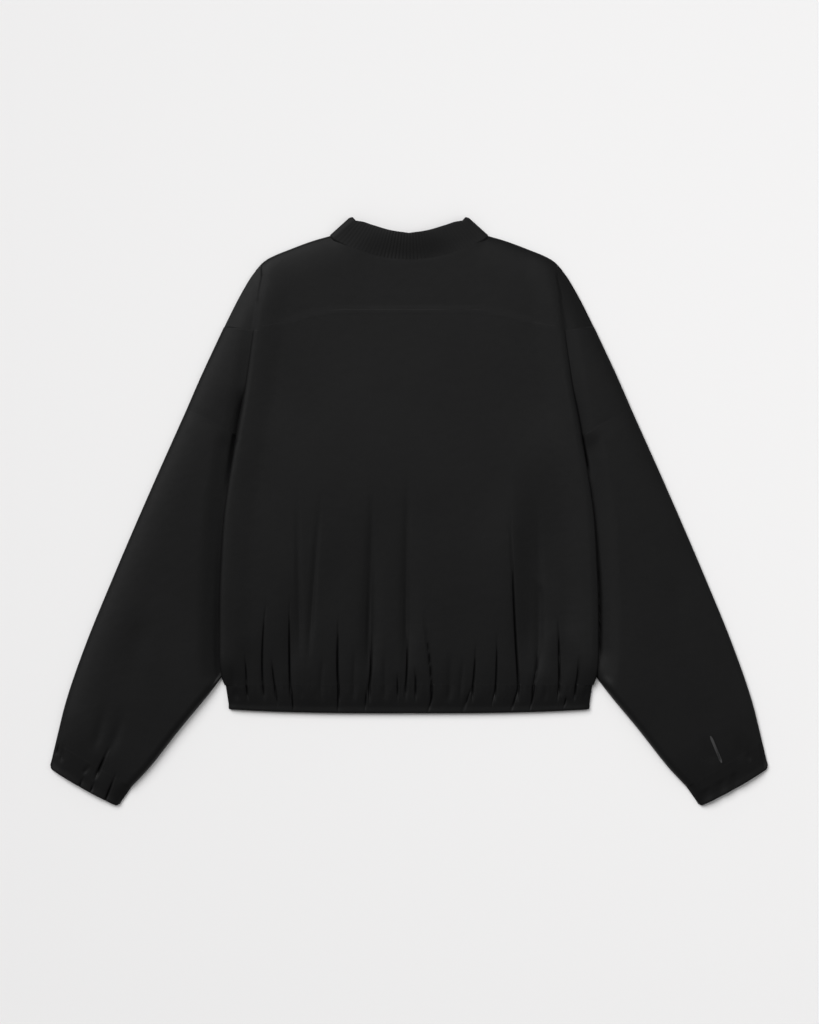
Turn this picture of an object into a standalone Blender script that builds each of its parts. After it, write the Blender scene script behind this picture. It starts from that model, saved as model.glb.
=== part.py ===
"""A cropped bomber jacket, zipped up and laid face down, so that its back is uppermost.

Sizes are in millimetres until build_piece() writes metres. X runs across the jacket from its middle, Y from the
hem to the collar, and Z up from the surface that the jacket lies on. The jacket is symmetrical but for its folds
and the small tab on one sleeve.
"""

import math
from collections import namedtuple

import bmesh
import bpy
from mathutils import Vector

MM = 0.001

# Walls and clearances.
WALL = 2.0
RIB_WALL = 2.4
SEAM_GAP = 0.3
HALF = WALL / 2

# Heights of the middle of each wall above the surface.
FRONT_LEVEL = 1.0
BACK_LEVEL = 6.5
SHOULDER_LEVEL = 6.4
FRONT_OVER_SLEEVE = 8.95
ROLL_END = 1.3
SLEEVE_TOP = 7.6
BAND_TOP = 7.6
EDGE_MIDDLE = 2.2

# How far in from an edge the cloth starts to roll down to it.
SHOULDER_ROLL = 15.0
BODY_ROLL = 6.0
SLEEVE_ROLL = 24.0
BAND_ROLL = 14.0

# How far beside the sleeve's hidden edge the back, and the front under it, start to rise over it.
BACK_SLOPE = 67.0
FRONT_SLOPE = 50.0
FRONT_LANDING = 5.0

# The body.
NECK_HALF = 99.7
YOKE_END = 234.6
STRIP_TOP_Y = 232.8
SHOULDER_CORNER = (195.0, 305.0)
FOLD_TOP_Y = 296.5
HEM_SEAM_Y = -220.3
ZIP_HALF = 7.0
FRONT_NECK_X = 96.0
NECK_CORNER_X = 90.0
NECK_GAP = 0.6
FRONT_INSET = 7.0
FRONT_FOLD_INSET = 7.5
NECK_BEND = 1.6

# The armhole, from the kink in the outline to the underarm under the body.
ARMHOLE_OUTER = (281.9, 128.9)
UNDERARM = (138.4, -42.5)
ARMHOLE_BULGE = 30.0
FOLD_CROSSING = 0.285

# The bands.
HEM_HALF_TOP = 232.0
HEM_HALF_BOTTOM = 227.3
HEM_BOTTOM_Y = -255.9
HEM_CORNER_RISE = 5.1
COLLAR_TIP = (72.4, 374.0)
COLLAR_SIDE = (98.7, 350.4)
COLLAR_TOP = 7.0
COLLAR_FRONT_TOP_Y = 300.0
COLLAR_FRONT_SEAM_Y = 262.0
RIB_COUNT = 54
RIB_RELIEF = 0.7

Edge = namedtuple("Edge", "y x")
Seam = namedtuple("Seam", "x y")
Level = namedtuple("Level", "y foot crown")
Section = namedtuple("Section", "share outer_x outer_y inner_x inner_y")
Gather = namedtuple("Gather", "x top lean height width")
Crease = namedtuple("Crease", "x0 y0 x1 y1 height width")
Column = namedtuple("Column", "seam_x top_x")
Middle = namedtuple("Middle", "out_y in_y")

# The outline from the yoke seam's end down the dropped shoulder, and the shoulder line from neck to corner.
SHOULDER_SIDE = (
    Edge(y=128.9, x=281.9),
    Edge(y=167.0, x=265.4),
    Edge(y=207.6, x=246.6),
    Edge(y=248.3, x=227.3),
    Edge(y=268.6, x=217.2),
    Edge(y=282.6, x=209.6),
    Edge(y=297.8, x=200.5),
    Edge(y=305.0, x=195.0),
)
SHOULDER_LINE = (
    Seam(x=99.7, y=349.2),
    Seam(x=120.6, y=343.2),
    Seam(x=150.0, y=332.4),
    Seam(x=178.0, y=320.4),
    Seam(x=188.0, y=313.0),
    Seam(x=195.0, y=305.0),
)

# The body's side edge, folded over the sleeve: half the body's width at each height.
FOLD_EDGE = (
    Edge(y=-221.0, x=233.0),
    Edge(y=-209.0, x=237.2),
    Edge(y=-180.0, x=239.6),
    Edge(y=-112.0, x=239.4),
    Edge(y=-62.0, x=237.5),
    Edge(y=-11.0, x=234.5),
    Edge(y=35.0, x=228.6),
    Edge(y=70.0, x=222.6),
    Edge(y=105.0, x=217.6),
    Edge(y=130.0, x=213.0),
    Edge(y=153.0, x=208.5),
    Edge(y=187.0, x=203.2),
    Edge(y=232.0, x=196.8),
    Edge(y=268.0, x=192.0),
    Edge(y=296.5, x=187.0),
)

# Wall heights along that edge: where its roll ends, and its crest.
FOLD_LEVELS = (
    Level(y=-221.0, foot=1.0, crown=6.5),
    Level(y=-212.0, foot=4.0, crown=8.6),
    Level(y=-206.0, foot=6.2, crown=10.6),
    Level(y=-198.0, foot=7.8, crown=11.6),
    Level(y=-186.0, foot=8.5, crown=11.9),
    Level(y=40.0, foot=8.5, crown=11.9),
    Level(y=104.0, foot=8.5, crown=11.6),
    Level(y=122.0, foot=6.4, crown=9.9),
    Level(y=153.0, foot=6.4, crown=9.2),
    Level(y=232.0, foot=6.4, crown=7.9),
    Level(y=296.5, foot=6.4, crown=6.4),
)

YOKE_SEAM = (
    Seam(x=0.0, y=250.8),
    Seam(x=85.0, y=250.6),
    Seam(x=107.0, y=248.0),
    Seam(x=130.0, y=243.0),
    Seam(x=150.0, y=237.0),
    Seam(x=170.0, y=232.2),
    Seam(x=196.0, y=229.0),
    Seam(x=234.6, y=233.0),
)
NECK_SEAM = (
    Seam(x=0.0, y=319.4),
    Seam(x=29.0, y=322.0),
    Seam(x=49.5, y=327.0),
    Seam(x=75.0, y=336.2),
    Seam(x=99.7, y=349.0),
)
COLLAR_EDGE = (
    Seam(x=0.0, y=353.0),
    Seam(x=24.0, y=356.3),
    Seam(x=49.5, y=363.9),
    Seam(x=66.0, y=371.6),
    Seam(x=72.4, y=374.0),
)

# Where each line across a front meets the zip, against where it meets the front's outer edge.
FRONT_MIDDLE = (
    Middle(out_y=-220.0, in_y=-220.0),
    Middle(out_y=-135.0, in_y=-150.0),
    Middle(out_y=-62.0, in_y=-70.0),
    Middle(out_y=100.0, in_y=90.0),
    Middle(out_y=150.0, in_y=128.0),
    Middle(out_y=240.0, in_y=186.0),
    Middle(out_y=303.0, in_y=226.0),
    Middle(out_y=341.0, in_y=261.6),
)

# Sleeve sections from the armhole to the cuff seam.
SLEEVE_SECTIONS = (
    Section(share=0.0, outer_x=281.9, outer_y=128.9, inner_x=138.4, inner_y=-42.5),
    Section(share=0.25, outer_x=326.5, outer_y=29.0, inner_x=190.0, inner_y=-130.0),
    Section(share=0.5, outer_x=372.1, outer_y=-76.8, inner_x=238.2, inner_y=-209.6),
    Section(share=0.75, outer_x=413.4, outer_y=-178.4, inner_x=294.6, inner_y=-280.0),
    Section(share=0.9, outer_x=435.6, outer_y=-244.0, inner_x=330.5, inner_y=-325.4),
    Section(share=1.0, outer_x=447.6, outer_y=-292.7, inner_x=352.6, inner_y=-348.8),
)
CUFF_END = Section(share=1.0, outer_x=455.9, outer_y=-325.8, inner_x=369.8, inner_y=-374.0)

# Gathers that rise from the hem seam into the back panel, left to right: where each meets the seam, the height
# that it reaches, how far its top leans sideways, and its relief and width at the seam.
HEM_GATHERS = (
    Gather(x=-214.0, top=-190.0, lean=2.0, height=1.4, width=7.0),
    Gather(x=-201.0, top=-140.0, lean=8.0, height=1.8, width=8.0),
    Gather(x=-184.0, top=-105.0, lean=6.0, height=2.0, width=8.0),
    Gather(x=-168.0, top=-175.0, lean=4.0, height=1.5, width=7.0),
    Gather(x=-150.0, top=-105.0, lean=-2.0, height=2.6, width=8.0),
    Gather(x=-129.0, top=20.0, lean=-10.0, height=2.2, width=9.0),
    Gather(x=-109.0, top=-150.0, lean=4.0, height=1.6, width=8.0),
    Gather(x=-90.0, top=-145.0, lean=2.0, height=2.4, width=8.0),
    Gather(x=-71.0, top=-185.0, lean=3.0, height=1.3, width=7.0),
    Gather(x=-52.0, top=-40.0, lean=5.0, height=2.6, width=9.0),
    Gather(x=-31.0, top=-180.0, lean=-3.0, height=1.4, width=7.0),
    Gather(x=-9.0, top=-10.0, lean=4.0, height=1.8, width=9.0),
    Gather(x=7.0, top=-190.0, lean=2.0, height=1.3, width=6.0),
    Gather(x=26.0, top=-135.0, lean=-6.0, height=2.2, width=8.0),
    Gather(x=46.0, top=-180.0, lean=3.0, height=1.5, width=8.0),
    Gather(x=66.0, top=-150.0, lean=-8.0, height=2.0, width=8.0),
    Gather(x=88.0, top=-185.0, lean=5.0, height=1.5, width=7.0),
    Gather(x=108.0, top=-170.0, lean=3.0, height=1.6, width=7.0),
    Gather(x=134.0, top=0.0, lean=-6.0, height=2.8, width=9.0),
    Gather(x=161.0, top=0.0, lean=-4.0, height=2.6, width=9.0),
    Gather(x=190.0, top=-160.0, lean=0.0, height=2.0, width=8.0),
    Gather(x=213.0, top=-180.0, lean=0.0, height=1.5, width=7.0),
)

# Creases in a sleeve above its cuff, from the cuff seam upward.
SLEEVE_CREASES = (
    Crease(x0=366.0, y0=-341.0, x1=376.0, y1=-296.0, height=1.8, width=6.0),
    Crease(x0=382.0, y0=-332.0, x1=366.0, y1=-257.0, height=2.0, width=7.0),
    Crease(x0=400.0, y0=-321.0, x1=386.0, y1=-243.0, height=1.6, width=7.0),
    Crease(x0=418.0, y0=-311.0, x1=412.0, y1=-262.0, height=1.5, width=6.0),
    Crease(x0=434.0, y0=-301.0, x1=433.0, y1=-270.0, height=1.4, width=5.0),
)

CUFF_GATHERS = (0.10, 0.19, 0.27, 0.36, 0.44, 0.53, 0.61, 0.70, 0.78, 0.87)
CUFF_RELIEF = 1.6
HEM_BAND_RELIEF = 1.5

# Grid steps. Distances in from an edge are crowded where the cloth rolls.
EDGE_STEPS = (1.1, 1.9, 3.8, 8.5)
FOLD_STEPS = (1.0, 1.7, 3.0, 4.6, 6.5, 12.0)
BACK_COLUMNS = 46
UPPER_ROWS = (0.0, 0.28, 0.56, 0.82, 1.0)
LOWER_ROWS = (60.0, 15.0, -30.0, -70.0, -105.0, -135.0, -160.0, -182.0, -198.0, -207.0, -214.0)
STRIP_INNER_STEPS = (2.0, 7.0)
STRIP_OUTER_STEPS = (12.0, 6.5, 2.8, 0.9, 0.0)
YOKE_COLUMNS = (
    Column(seam_x=0.0, top_x=0.0),
    Column(seam_x=104.0, top_x=98.8),
    Column(seam_x=197.0, top_x=181.0),
    Column(seam_x=234.6, top_x=194.4),
)
YOKE_X = (0, 15, 30, 46, 62, 76, 86, 95, 104, 113, 122, 131, 140, 150, 160, 171, 182, 190, 194.5, 197, 199, 203, 211,
          219, 226.5, 230.3, 232.4, 233.5)
YOKE_RISES = (0.0, 0.3, 0.6, 0.85)
RING_TOP = (0.0, 0.008, 0.026, 0.06, 0.12, 0.2, 0.3, 0.41, 0.52, 0.62, 0.71, 0.8, 0.88, 0.94, 0.974, 0.992, 1.0)
RING_BOTTOM = (0.994, 0.98, 0.85, 0.6, 0.35, 0.14, 0.02, 0.006)
SLEEVE_ROWS = 14
FRONT_ACROSS = 10


# Curves and blends ------------------------------------------------------------------------------------------

def smooth(share):
    """Ease from 0 to 1 as the share does."""
    share = min(1.0, max(0.0, share))
    return share * share * (3.0 - 2.0 * share)


def read_curve(rows, key, value, at):
    """Read one column of a table against another, on a smooth curve through its rows."""
    places = [getattr(row, key) for row in rows]
    values = [getattr(row, value) for row in rows]
    if at <= places[0]:
        return values[0]
    if at >= places[-1]:
        return values[-1]
    first = max(i for i, place in enumerate(places[:-1]) if place <= at)
    step = places[first + 1] - places[first]
    t = (at - places[first]) / step
    start_slope = table_slope(places, values, first) * step
    end_slope = table_slope(places, values, first + 1) * step
    return (
        (2 * t**3 - 3 * t**2 + 1) * values[first]
        + (t**3 - 2 * t**2 + t) * start_slope
        + (3 * t**2 - 2 * t**3) * values[first + 1]
        + (t**3 - t**2) * end_slope
    )


def table_slope(places, values, i):
    """The slope of a smooth curve at one row, level where the values turn back."""
    if i == 0:
        return (values[1] - values[0]) / (places[1] - places[0])
    if i == len(places) - 1:
        return (values[-1] - values[-2]) / (places[-1] - places[-2])
    before = (values[i] - values[i - 1]) / (places[i] - places[i - 1])
    after = (values[i + 1] - values[i]) / (places[i + 1] - places[i])
    if before * after <= 0:
        return 0.0
    return 2 * before * after / (before + after)


def distance_to(points, x, y):
    """The shortest distance from a place to a line of points."""
    nearest = math.inf
    for (ax, ay), (bx, by) in zip(points, points[1:]):
        dx, dy = bx - ax, by - ay
        t = ((x - ax) * dx + (y - ay) * dy) / (dx * dx + dy * dy)
        t = min(1.0, max(0.0, t))
        nearest = min(nearest, math.hypot(x - ax - t * dx, y - ay - t * dy))
    return nearest


def roll(inset, crest, end, reach):
    """The height of a wall that rolls down to its end as it nears an edge."""
    inset = max(inset, HALF)
    if inset >= reach:
        return crest
    share = (reach - inset) / (reach - HALF)
    return end + (crest - end) * math.sqrt(max(0.0, 1.0 - share * share))


def fold_x(y):
    """Half the body's width, where its side edge folds over the sleeve."""
    return read_curve(FOLD_EDGE, "y", "x", y)


def armhole(share):
    """A place on the armhole seam, from the outline's kink (0) to the underarm (1)."""
    along_x = UNDERARM[0] - ARMHOLE_OUTER[0]
    along_y = UNDERARM[1] - ARMHOLE_OUTER[1]
    length = math.hypot(along_x, along_y)
    bulge = ARMHOLE_BULGE * 4 * share * (1 - share)
    x = ARMHOLE_OUTER[0] + along_x * share + bulge * along_y / length
    y = ARMHOLE_OUTER[1] + along_y * share - bulge * along_x / length
    return x, y


def sleeve_inner(share):
    """A place on the sleeve's inner edge, from the underarm (0) to the cuff seam (1)."""
    x = read_curve(SLEEVE_SECTIONS, "share", "inner_x", share)
    y = read_curve(SLEEVE_SECTIONS, "share", "inner_y", share)
    return x, y


# The outlines that distances are taken from.
SIDE_POINTS = [(edge.x, edge.y) for edge in SHOULDER_SIDE]
SHOULDER_POINTS = [(seam.x, seam.y) for seam in SHOULDER_LINE]
SILHOUETTE = SIDE_POINTS + SHOULDER_POINTS[-2::-1]
ARMHOLE_POINTS = [armhole(i / 12) for i in range(13)]
INNER_POINTS = [sleeve_inner(i / 12) for i in range(8)]
SLEEVE_BOUNDARY = ARMHOLE_POINTS + INNER_POINTS[1:]


def over_sleeve(x, y):
    """How far a place lies inside the sleeve's own outline; less than 0 beside it."""
    reach = distance_to(SLEEVE_BOUNDARY, x, y)
    if y >= UNDERARM[1]:
        crossing = max(ARMHOLE_POINTS, key=lambda point: -abs(point[1] - y))
        edge_x = crossing[0]
    else:
        crossing = max(INNER_POINTS, key=lambda point: -abs(point[1] - y))
        edge_x = crossing[0] + (crossing[1] - y) * 0.62
    return reach if x > edge_x else -reach


# The cloth's heights -----------------------------------------------------------------------------------------

def gather_height(x, y):
    """The relief of the gathers that rise from the hem seam."""
    total = 0.0
    for gather in HEM_GATHERS:
        rise = (y - HEM_SEAM_Y) / (gather.top - HEM_SEAM_Y)
        if rise >= 1.0:
            continue
        rise = max(rise, 0.0)
        middle = gather.x + gather.lean * rise
        width = gather.width * (1.0 + 0.9 * rise)
        apart = abs(x - middle) / width
        if apart < 1.0:
            total = max(total, gather.height * (1 - smooth(rise)) * (1 - smooth(apart)))
    return total


def back_level(x, y):
    """The middle of the back's wall, over the front, the sleeve's inner part and the shoulder."""
    across = abs(x)
    inset = fold_x(y) - across
    crest = read_curve(FOLD_LEVELS, "y", "crown", y)
    foot = read_curve(FOLD_LEVELS, "y", "foot", y)
    lifted = BACK_LEVEL
    if y < FOLD_TOP_Y:
        over = smooth(1.0 + over_sleeve(across, y) / BACK_SLOPE)
        near = smooth(1.0 - inset / BACK_SLOPE)
        lifted = BACK_LEVEL + max(crest - BACK_LEVEL, 0.0) * max(over, near)
    if inset >= HALF:
        edge = roll(inset, lifted, foot, BODY_ROLL) if y < FOLD_TOP_Y else SHOULDER_LEVEL
        level = max(edge, foot) if y < FOLD_TOP_Y else lifted
    else:
        corner = smooth(1.0 - (HALF - inset) / 14.0)
        level = SHOULDER_LEVEL + (foot - SHOULDER_LEVEL) * corner
    if y > 150.0 or inset < HALF:
        outline = distance_to(SILHOUETTE, across, y)
        level = min(level, roll(outline, level, ROLL_END, SHOULDER_ROLL))
    return level + gather_height(x, y) * smooth((inset - 2.0) / 10.0)


def front_level(x, y):
    """The middle of a front's wall: on the surface, or lifted over the sleeve below the underarm."""
    nearness = distance_to(INNER_POINTS, x, y) + max(0.0, y - UNDERARM[1])
    inside = over_sleeve(x, y) > 0 and y < UNDERARM[1] + 2.0
    if inside:
        return FRONT_OVER_SLEEVE
    near_hem = smooth((y - HEM_SEAM_Y) / 28.0)
    rise = smooth((FRONT_SLOPE - nearness) / (FRONT_SLOPE - FRONT_LANDING))
    return FRONT_LEVEL + (FRONT_OVER_SLEEVE - FRONT_LEVEL) * rise * near_hem


# Solids ------------------------------------------------------------------------------------------------------

def make_material(name, colour, roughness):
    """A plain dark cloth or metal."""
    material = bpy.data.materials.new(name)
    material.use_nodes = True
    shader = material.node_tree.nodes["Principled BSDF"]
    shader.inputs["Base Color"].default_value = (*colour, 1.0)
    shader.inputs["Roughness"].default_value = roughness
    return material


def build_piece(name, outer, inner, faces, material):
    """Close a wall between two matching sets of points that share their faces."""
    mesh = bpy.data.meshes.new(name)
    work = bmesh.new()
    outside = [work.verts.new([value * MM for value in point]) for point in outer]
    inside = [work.verts.new([value * MM for value in point]) for point in inner]
    uses = {}
    for face in faces:
        work.faces.new([outside[i] for i in face])
        work.faces.new([inside[i] for i in reversed(face)])
        for pair in zip(face, face[1:] + face[:1]):
            uses[frozenset(pair)] = uses.get(frozenset(pair), []) + [pair]
    for pairs in uses.values():
        if len(pairs) == 1:
            a, b = pairs[0]
            work.faces.new([outside[b], outside[a], inside[a], inside[b]])
    bmesh.ops.triangulate(work, faces=work.faces[:])
    if work.calc_volume(signed=True) < 0:
        bmesh.ops.reverse_faces(work, faces=work.faces[:])
    work.to_mesh(mesh)
    work.free()
    piece = bpy.data.objects.new(name, mesh)
    bpy.context.scene.collection.objects.link(piece)
    mesh.materials.append(material)
    mesh.shade_smooth()
    return piece


def grid_faces(rows, columns, closed=False):
    """Four-sided faces over a grid of points, joined into a ring where it is closed."""
    faces = []
    around = columns if closed else columns - 1
    for i in range(rows - 1):
        for j in range(around):
            k = (j + 1) % columns
            faces.append((i * columns + j, i * columns + k, (i + 1) * columns + k, (i + 1) * columns + j))
    return faces


def thicken(points, faces, seams):
    """Offset a wall's middle points to both sides, along normals that keep within the plane of each seam."""
    work = bmesh.new()
    verts = [work.verts.new(point) for point in points]
    for face in faces:
        work.faces.new([verts[i] for i in face])
    work.normal_update()
    side = math.copysign(1.0, sum(vert.normal.z for vert in verts))
    normals = [vert.normal * side for vert in verts]
    for seam in seams:
        for k, i in enumerate(seam):
            before = verts[seam[max(k - 1, 0)]].co
            after = verts[seam[min(k + 1, len(seam) - 1)]].co
            across = (after - before).cross(Vector((0.0, 0.0, 1.0))).normalized()
            normals[i] = (normals[i] - across * normals[i].dot(across)).normalized()
    outer = [tuple(vert.co + normal * HALF) for vert, normal in zip(verts, normals)]
    inner = [tuple(vert.co - normal * HALF) for vert, normal in zip(verts, normals)]
    work.free()
    return outer, inner


def mirror(points, side):
    """Place a right-hand piece's points on either side."""
    return [(x * side, y, z) for x, y, z in points]


# The back and its yoke ---------------------------------------------------------------------------------------

def yoke_seam_y(x):
    """The yoke seam, level in the middle and lower towards the armholes."""
    return read_curve(YOKE_SEAM, "x", "y", abs(x))


def make_yoke(material):
    """The yoke, from the collar and the shoulders to the yoke seam."""
    seam_xs = [-x for x in YOKE_X[:0:-1]] + list(YOKE_X)
    across = len(seam_xs)
    rows = len(YOKE_RISES) + len(EDGE_STEPS)
    points = []
    for rise in range(rows):
        for seam_x in seam_xs:
            points.append(yoke_point(seam_x, rise))
    faces = grid_faces(rows, across)
    neck = [(rows - 1) * across + k for k, x in enumerate(seam_xs) if abs(x) < NECK_CORNER_X]
    outer, inner = thicken(points, faces, [list(range(across)), neck])
    return build_piece("back_yoke", outer, inner, faces, material)


def yoke_point(seam_x, rise):
    """One point of the yoke, on the line from its seam up to the neck or shoulder."""
    across = abs(seam_x)
    side = math.copysign(1.0, seam_x)
    top_x = read_curve(YOKE_COLUMNS, "seam_x", "top_x", across)
    if top_x <= NECK_HALF:
        top_y = read_curve(NECK_SEAM, "x", "y", top_x) - NECK_GAP + EDGE_STEPS[0]
    else:
        top_y = read_curve(SHOULDER_LINE, "x", "y", top_x)
    bottom_y = yoke_seam_y(seam_x) + SEAM_GAP
    if rise < len(YOKE_RISES):
        share = YOKE_RISES[rise]
        end_y = top_y - EDGE_STEPS[-1] - 3.0
        y = bottom_y + (end_y - bottom_y) * share
    else:
        y = top_y - EDGE_STEPS[len(YOKE_RISES) - rise - 1]
    share = (y - bottom_y) / (top_y - bottom_y)
    x = across + (top_x - across) * share
    edge_x = read_curve(SHOULDER_SIDE, "y", "x", y)
    bow = edge_x - (YOKE_END + (SHOULDER_CORNER[0] - YOKE_END) * share)
    x += bow * smooth((across - 197.0) / (YOKE_END - 197.0))
    return x * side, y, back_level(x * side, y)


def back_rows():
    """The back panel's heights, from the yoke seam to the hem seam."""
    crossing_y = armhole(FOLD_CROSSING)[1] + SEAM_GAP
    rows = []
    for share in UPPER_ROWS:
        rows.append(lambda x, share=share: (yoke_seam_y(x) - SEAM_GAP / 2) * (1 - share) + crossing_y * share)
    for y in LOWER_ROWS:
        rows.append(lambda x, y=y: y)
    rows.append(lambda x: HEM_SEAM_Y + SEAM_GAP / 2)
    return rows


def make_back(material):
    """The back panel: its middle rolls down at each side edge, and above the armholes it runs on outward."""
    rows = back_rows()
    points = []
    index = {}
    for i, row in enumerate(rows):
        side_y = row(fold_x(row(196.0)))
        half = fold_x(side_y)
        inner_half = half - FOLD_STEPS[-1]
        middle = [inner_half * (2 * k / BACK_COLUMNS - 1) for k in range(BACK_COLUMNS + 1)]
        left = [-half + step for step in FOLD_STEPS[:-1]]
        xs = left + middle + [-x for x in reversed(left)]
        for j, x in enumerate(xs):
            index[i, j] = len(points)
            points.append((x, row(x), back_level(x, row(x))))
    across = len(xs)
    faces = []
    for i in range(len(rows) - 1):
        for j in range(across - 1):
            faces.append((index[i, j], index[i, j + 1], index[i + 1, j + 1], index[i + 1, j]))
    yoke_seam = [index[0, j] for j in range(across)]
    hem_seam = [index[len(rows) - 1, j] for j in range(across)]
    seams = [hem_seam]
    for side, column in ((-1, 0), (1, across - 1)):
        strip = add_shoulder_strip(points, faces, index, side, column)
        seams.append(strip[-1])
        yoke_seam = strip[0][:0:-1] + yoke_seam if side < 0 else yoke_seam + strip[0][1:]
    seams.append(yoke_seam)
    outer, inner = thicken(points, faces, seams)
    return build_piece("back_panel", outer, inner, faces, material)


def add_shoulder_strip(points, faces, index, side, column):
    """Run the upper rows outward over the dropped shoulder, to the outline."""
    grid = []
    for i, share in enumerate(UPPER_ROWS):
        start = points[index[i, column]]
        x0, y0 = abs(start[0]), start[1]
        if i == len(UPPER_ROWS) - 1:
            place = seam_side_place
        else:
            place = straight_place
        outer_y = STRIP_TOP_Y + (ARMHOLE_OUTER[1] + SEAM_GAP - STRIP_TOP_Y) * share
        outer_x = read_curve(SHOULDER_SIDE, "y", "x", outer_y) - 1.15
        row = [index[i, column]]
        width = outer_x - x0
        shares_out = [step / width for step in STRIP_INNER_STEPS] + [0.42]
        shares_out += [1 - step / width for step in STRIP_OUTER_STEPS]
        for share_out in shares_out:
            x, y = place(x0, y0, outer_x, outer_y, share_out)
            row.append(len(points))
            points.append((side * x, y, back_level(side * x, y)))
        grid.append(row)
    for upper, lower in zip(grid, grid[1:]):
        for k in range(len(upper) - 1):
            face = (upper[k], upper[k + 1], lower[k + 1], lower[k])
            faces.append(face if side > 0 else face[::-1])
    return grid


def straight_place(x0, y0, x1, y1, share):
    """A place on the straight line between two."""
    if y0 > 200.0:
        x = x0 + (x1 - x0) * share
        return x, (yoke_seam_y(x) - SEAM_GAP / 2) + (y0 - yoke_seam_y(x0) + SEAM_GAP / 2) * (1 - share)
    return x0 + (x1 - x0) * share, y0 + (y1 - y0) * share


def seam_side_place(x0, y0, x1, y1, share):
    """A place just above the armhole seam, from the body's edge out to the outline."""
    x, y = armhole(FOLD_CROSSING * (1 - share))
    start_x, start_y = armhole(FOLD_CROSSING)
    keep = 1 - share
    x += (x0 - start_x) * keep + (x1 - ARMHOLE_OUTER[0]) * share
    y += (y0 - start_y) * keep + (y1 - ARMHOLE_OUTER[1]) * share + SEAM_GAP * keep * share
    return x, y


# The fronts --------------------------------------------------------------------------------------------------

def front_outline():
    """A front's outer boundary from the shoulder at the neck, down the armhole, to the hem."""
    line = [(FRONT_NECK_X, 341.0), (120.0, 335.0), (150.0, 324.5), (176.0, 312.5), (185.5, 303.0)]
    for y in (285.0, 240.0, 190.0, 150.0):
        line.append((read_curve(SHOULDER_SIDE, "y", "x", y) - FRONT_INSET, y))
    for k in range(1, 16):
        x, y = armhole(k / 16)
        line.append((x - 0.45, y + 0.45))
    line.append((UNDERARM[0] - 0.6, UNDERARM[1] - 2.0))
    line.extend([(172.0, -62.0), (206.0, -92.0), (fold_x(-135.0) - FRONT_FOLD_INSET, -135.0)])
    for y in (-170.0, -198.0, -209.0):
        line.append((fold_x(y) - FRONT_FOLD_INSET, y))
    line.append((fold_x(HEM_SEAM_Y) - 3.6, HEM_SEAM_Y + SEAM_GAP / 2))
    return line


def make_front(side, name, material):
    """A front, flat on the surface, but for the part below the underarm that lies over the sleeve."""
    outline = front_outline()
    inner_x = ZIP_HALF + SEAM_GAP
    points = []
    for x_out, y_out in outline:
        y_in = read_curve(FRONT_MIDDLE, "out_y", "in_y", y_out) if y_out > HEM_SEAM_Y + 1 else y_out
        bend = 1.0 + (NECK_BEND - 1.0) * smooth((y_out - 150.0) / 150.0)
        for k in range(FRONT_ACROSS):
            share = 1 - (1 - k / (FRONT_ACROSS - 1)) ** 1.4
            x = inner_x + (x_out - inner_x) * share
            y = y_in + (y_out - y_in) * share**bend
            points.append((x, y, front_level(x, y)))
    rows = len(outline)
    points = mirror(points, side)
    faces = grid_faces(rows, FRONT_ACROSS)
    outer = [(x, y, z + HALF) for x, y, z in points]
    inner = [(x, y, z - HALF) for x, y, z in points]
    return build_piece(name, outer, inner, faces, material)


# Flattened rings: the sleeves, the cuffs and the hem band -----------------------------------------------------

def ring_top(distance, width, top, reach):
    """The outer height of a flattened ring's upper wall."""
    inset = min(distance, width - distance)
    share = max(0.0, 1.0 - inset / reach)
    return EDGE_MIDDLE + (top - EDGE_MIDDLE) * math.sqrt(max(0.0, 1.0 - share**2.4))


def ring_bottom(distance, width):
    """The outer height of a flattened ring's lower wall, flat but for its rounded edges."""
    inset = min(distance, width - distance)
    share = max(0.0, 1.0 - inset / EDGE_MIDDLE)
    return EDGE_MIDDLE * (1.0 - math.sqrt(max(0.0, 1.0 - share * share)))


def inside_place(distance, width):
    """Where a ring's inner wall lies below a place on its outer one: pressed in from its rounded edges."""
    least = WALL + 0.6
    reach = 14.0
    if distance < reach:
        return least + distance * (reach - least) / reach
    if width - distance < reach:
        return width - least - (width - distance) * (reach - least) / reach
    return distance


def ring_points(width, top, reach, shares):
    """One section of a flattened ring: matching outer and inner places, with their heights."""
    outer = []
    inner = []
    for place, upper in shares:
        distance = place * width
        within = inside_place(distance, width)
        if upper:
            outer.append((distance, ring_top(distance, width, top, reach)))
            plain = ring_top(within, width, top, reach) - WALL
            inner.append((within, max(plain, WALL + 0.4)))
        else:
            outer.append((distance, ring_bottom(distance, width)))
            inner.append((within, WALL))
    return outer, inner


def sleeve_section(share):
    """A sleeve's outer and inner edge at one share of its length."""
    return [read_curve(SLEEVE_SECTIONS, "share", column, share) for column in Section._fields[1:]]


def crease_height(x, y):
    """The relief of the creases above a cuff."""
    total = 0.0
    for crease in SLEEVE_CREASES:
        dx, dy = crease.x1 - crease.x0, crease.y1 - crease.y0
        t = ((x - crease.x0) * dx + (y - crease.y0) * dy) / (dx * dx + dy * dy)
        held = min(1.0, max(0.0, t))
        apart = math.hypot(x - crease.x0 - held * dx, y - crease.y0 - held * dy) / crease.width
        if apart < 1.0:
            total = max(total, crease.height * (1 - smooth(held)) * (1 - smooth(apart)))
    return total


def sleeve_place(share, place):
    """A place on the sleeve by its share along and across, with the seam's curve at the armhole."""
    outer_x, outer_y, inner_x, inner_y = sleeve_section(share)
    width = math.hypot(inner_x - outer_x, inner_y - outer_y)
    bulge = ARMHOLE_BULGE * 4 * place * (1 - place) * (1 - smooth(share / 0.6))
    along_x, along_y = (inner_x - outer_x) / width, (inner_y - outer_y) / width
    x = outer_x + along_x * width * place + bulge * along_y
    y = outer_y + along_y * width * place - bulge * along_x
    return x, y, width


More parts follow.
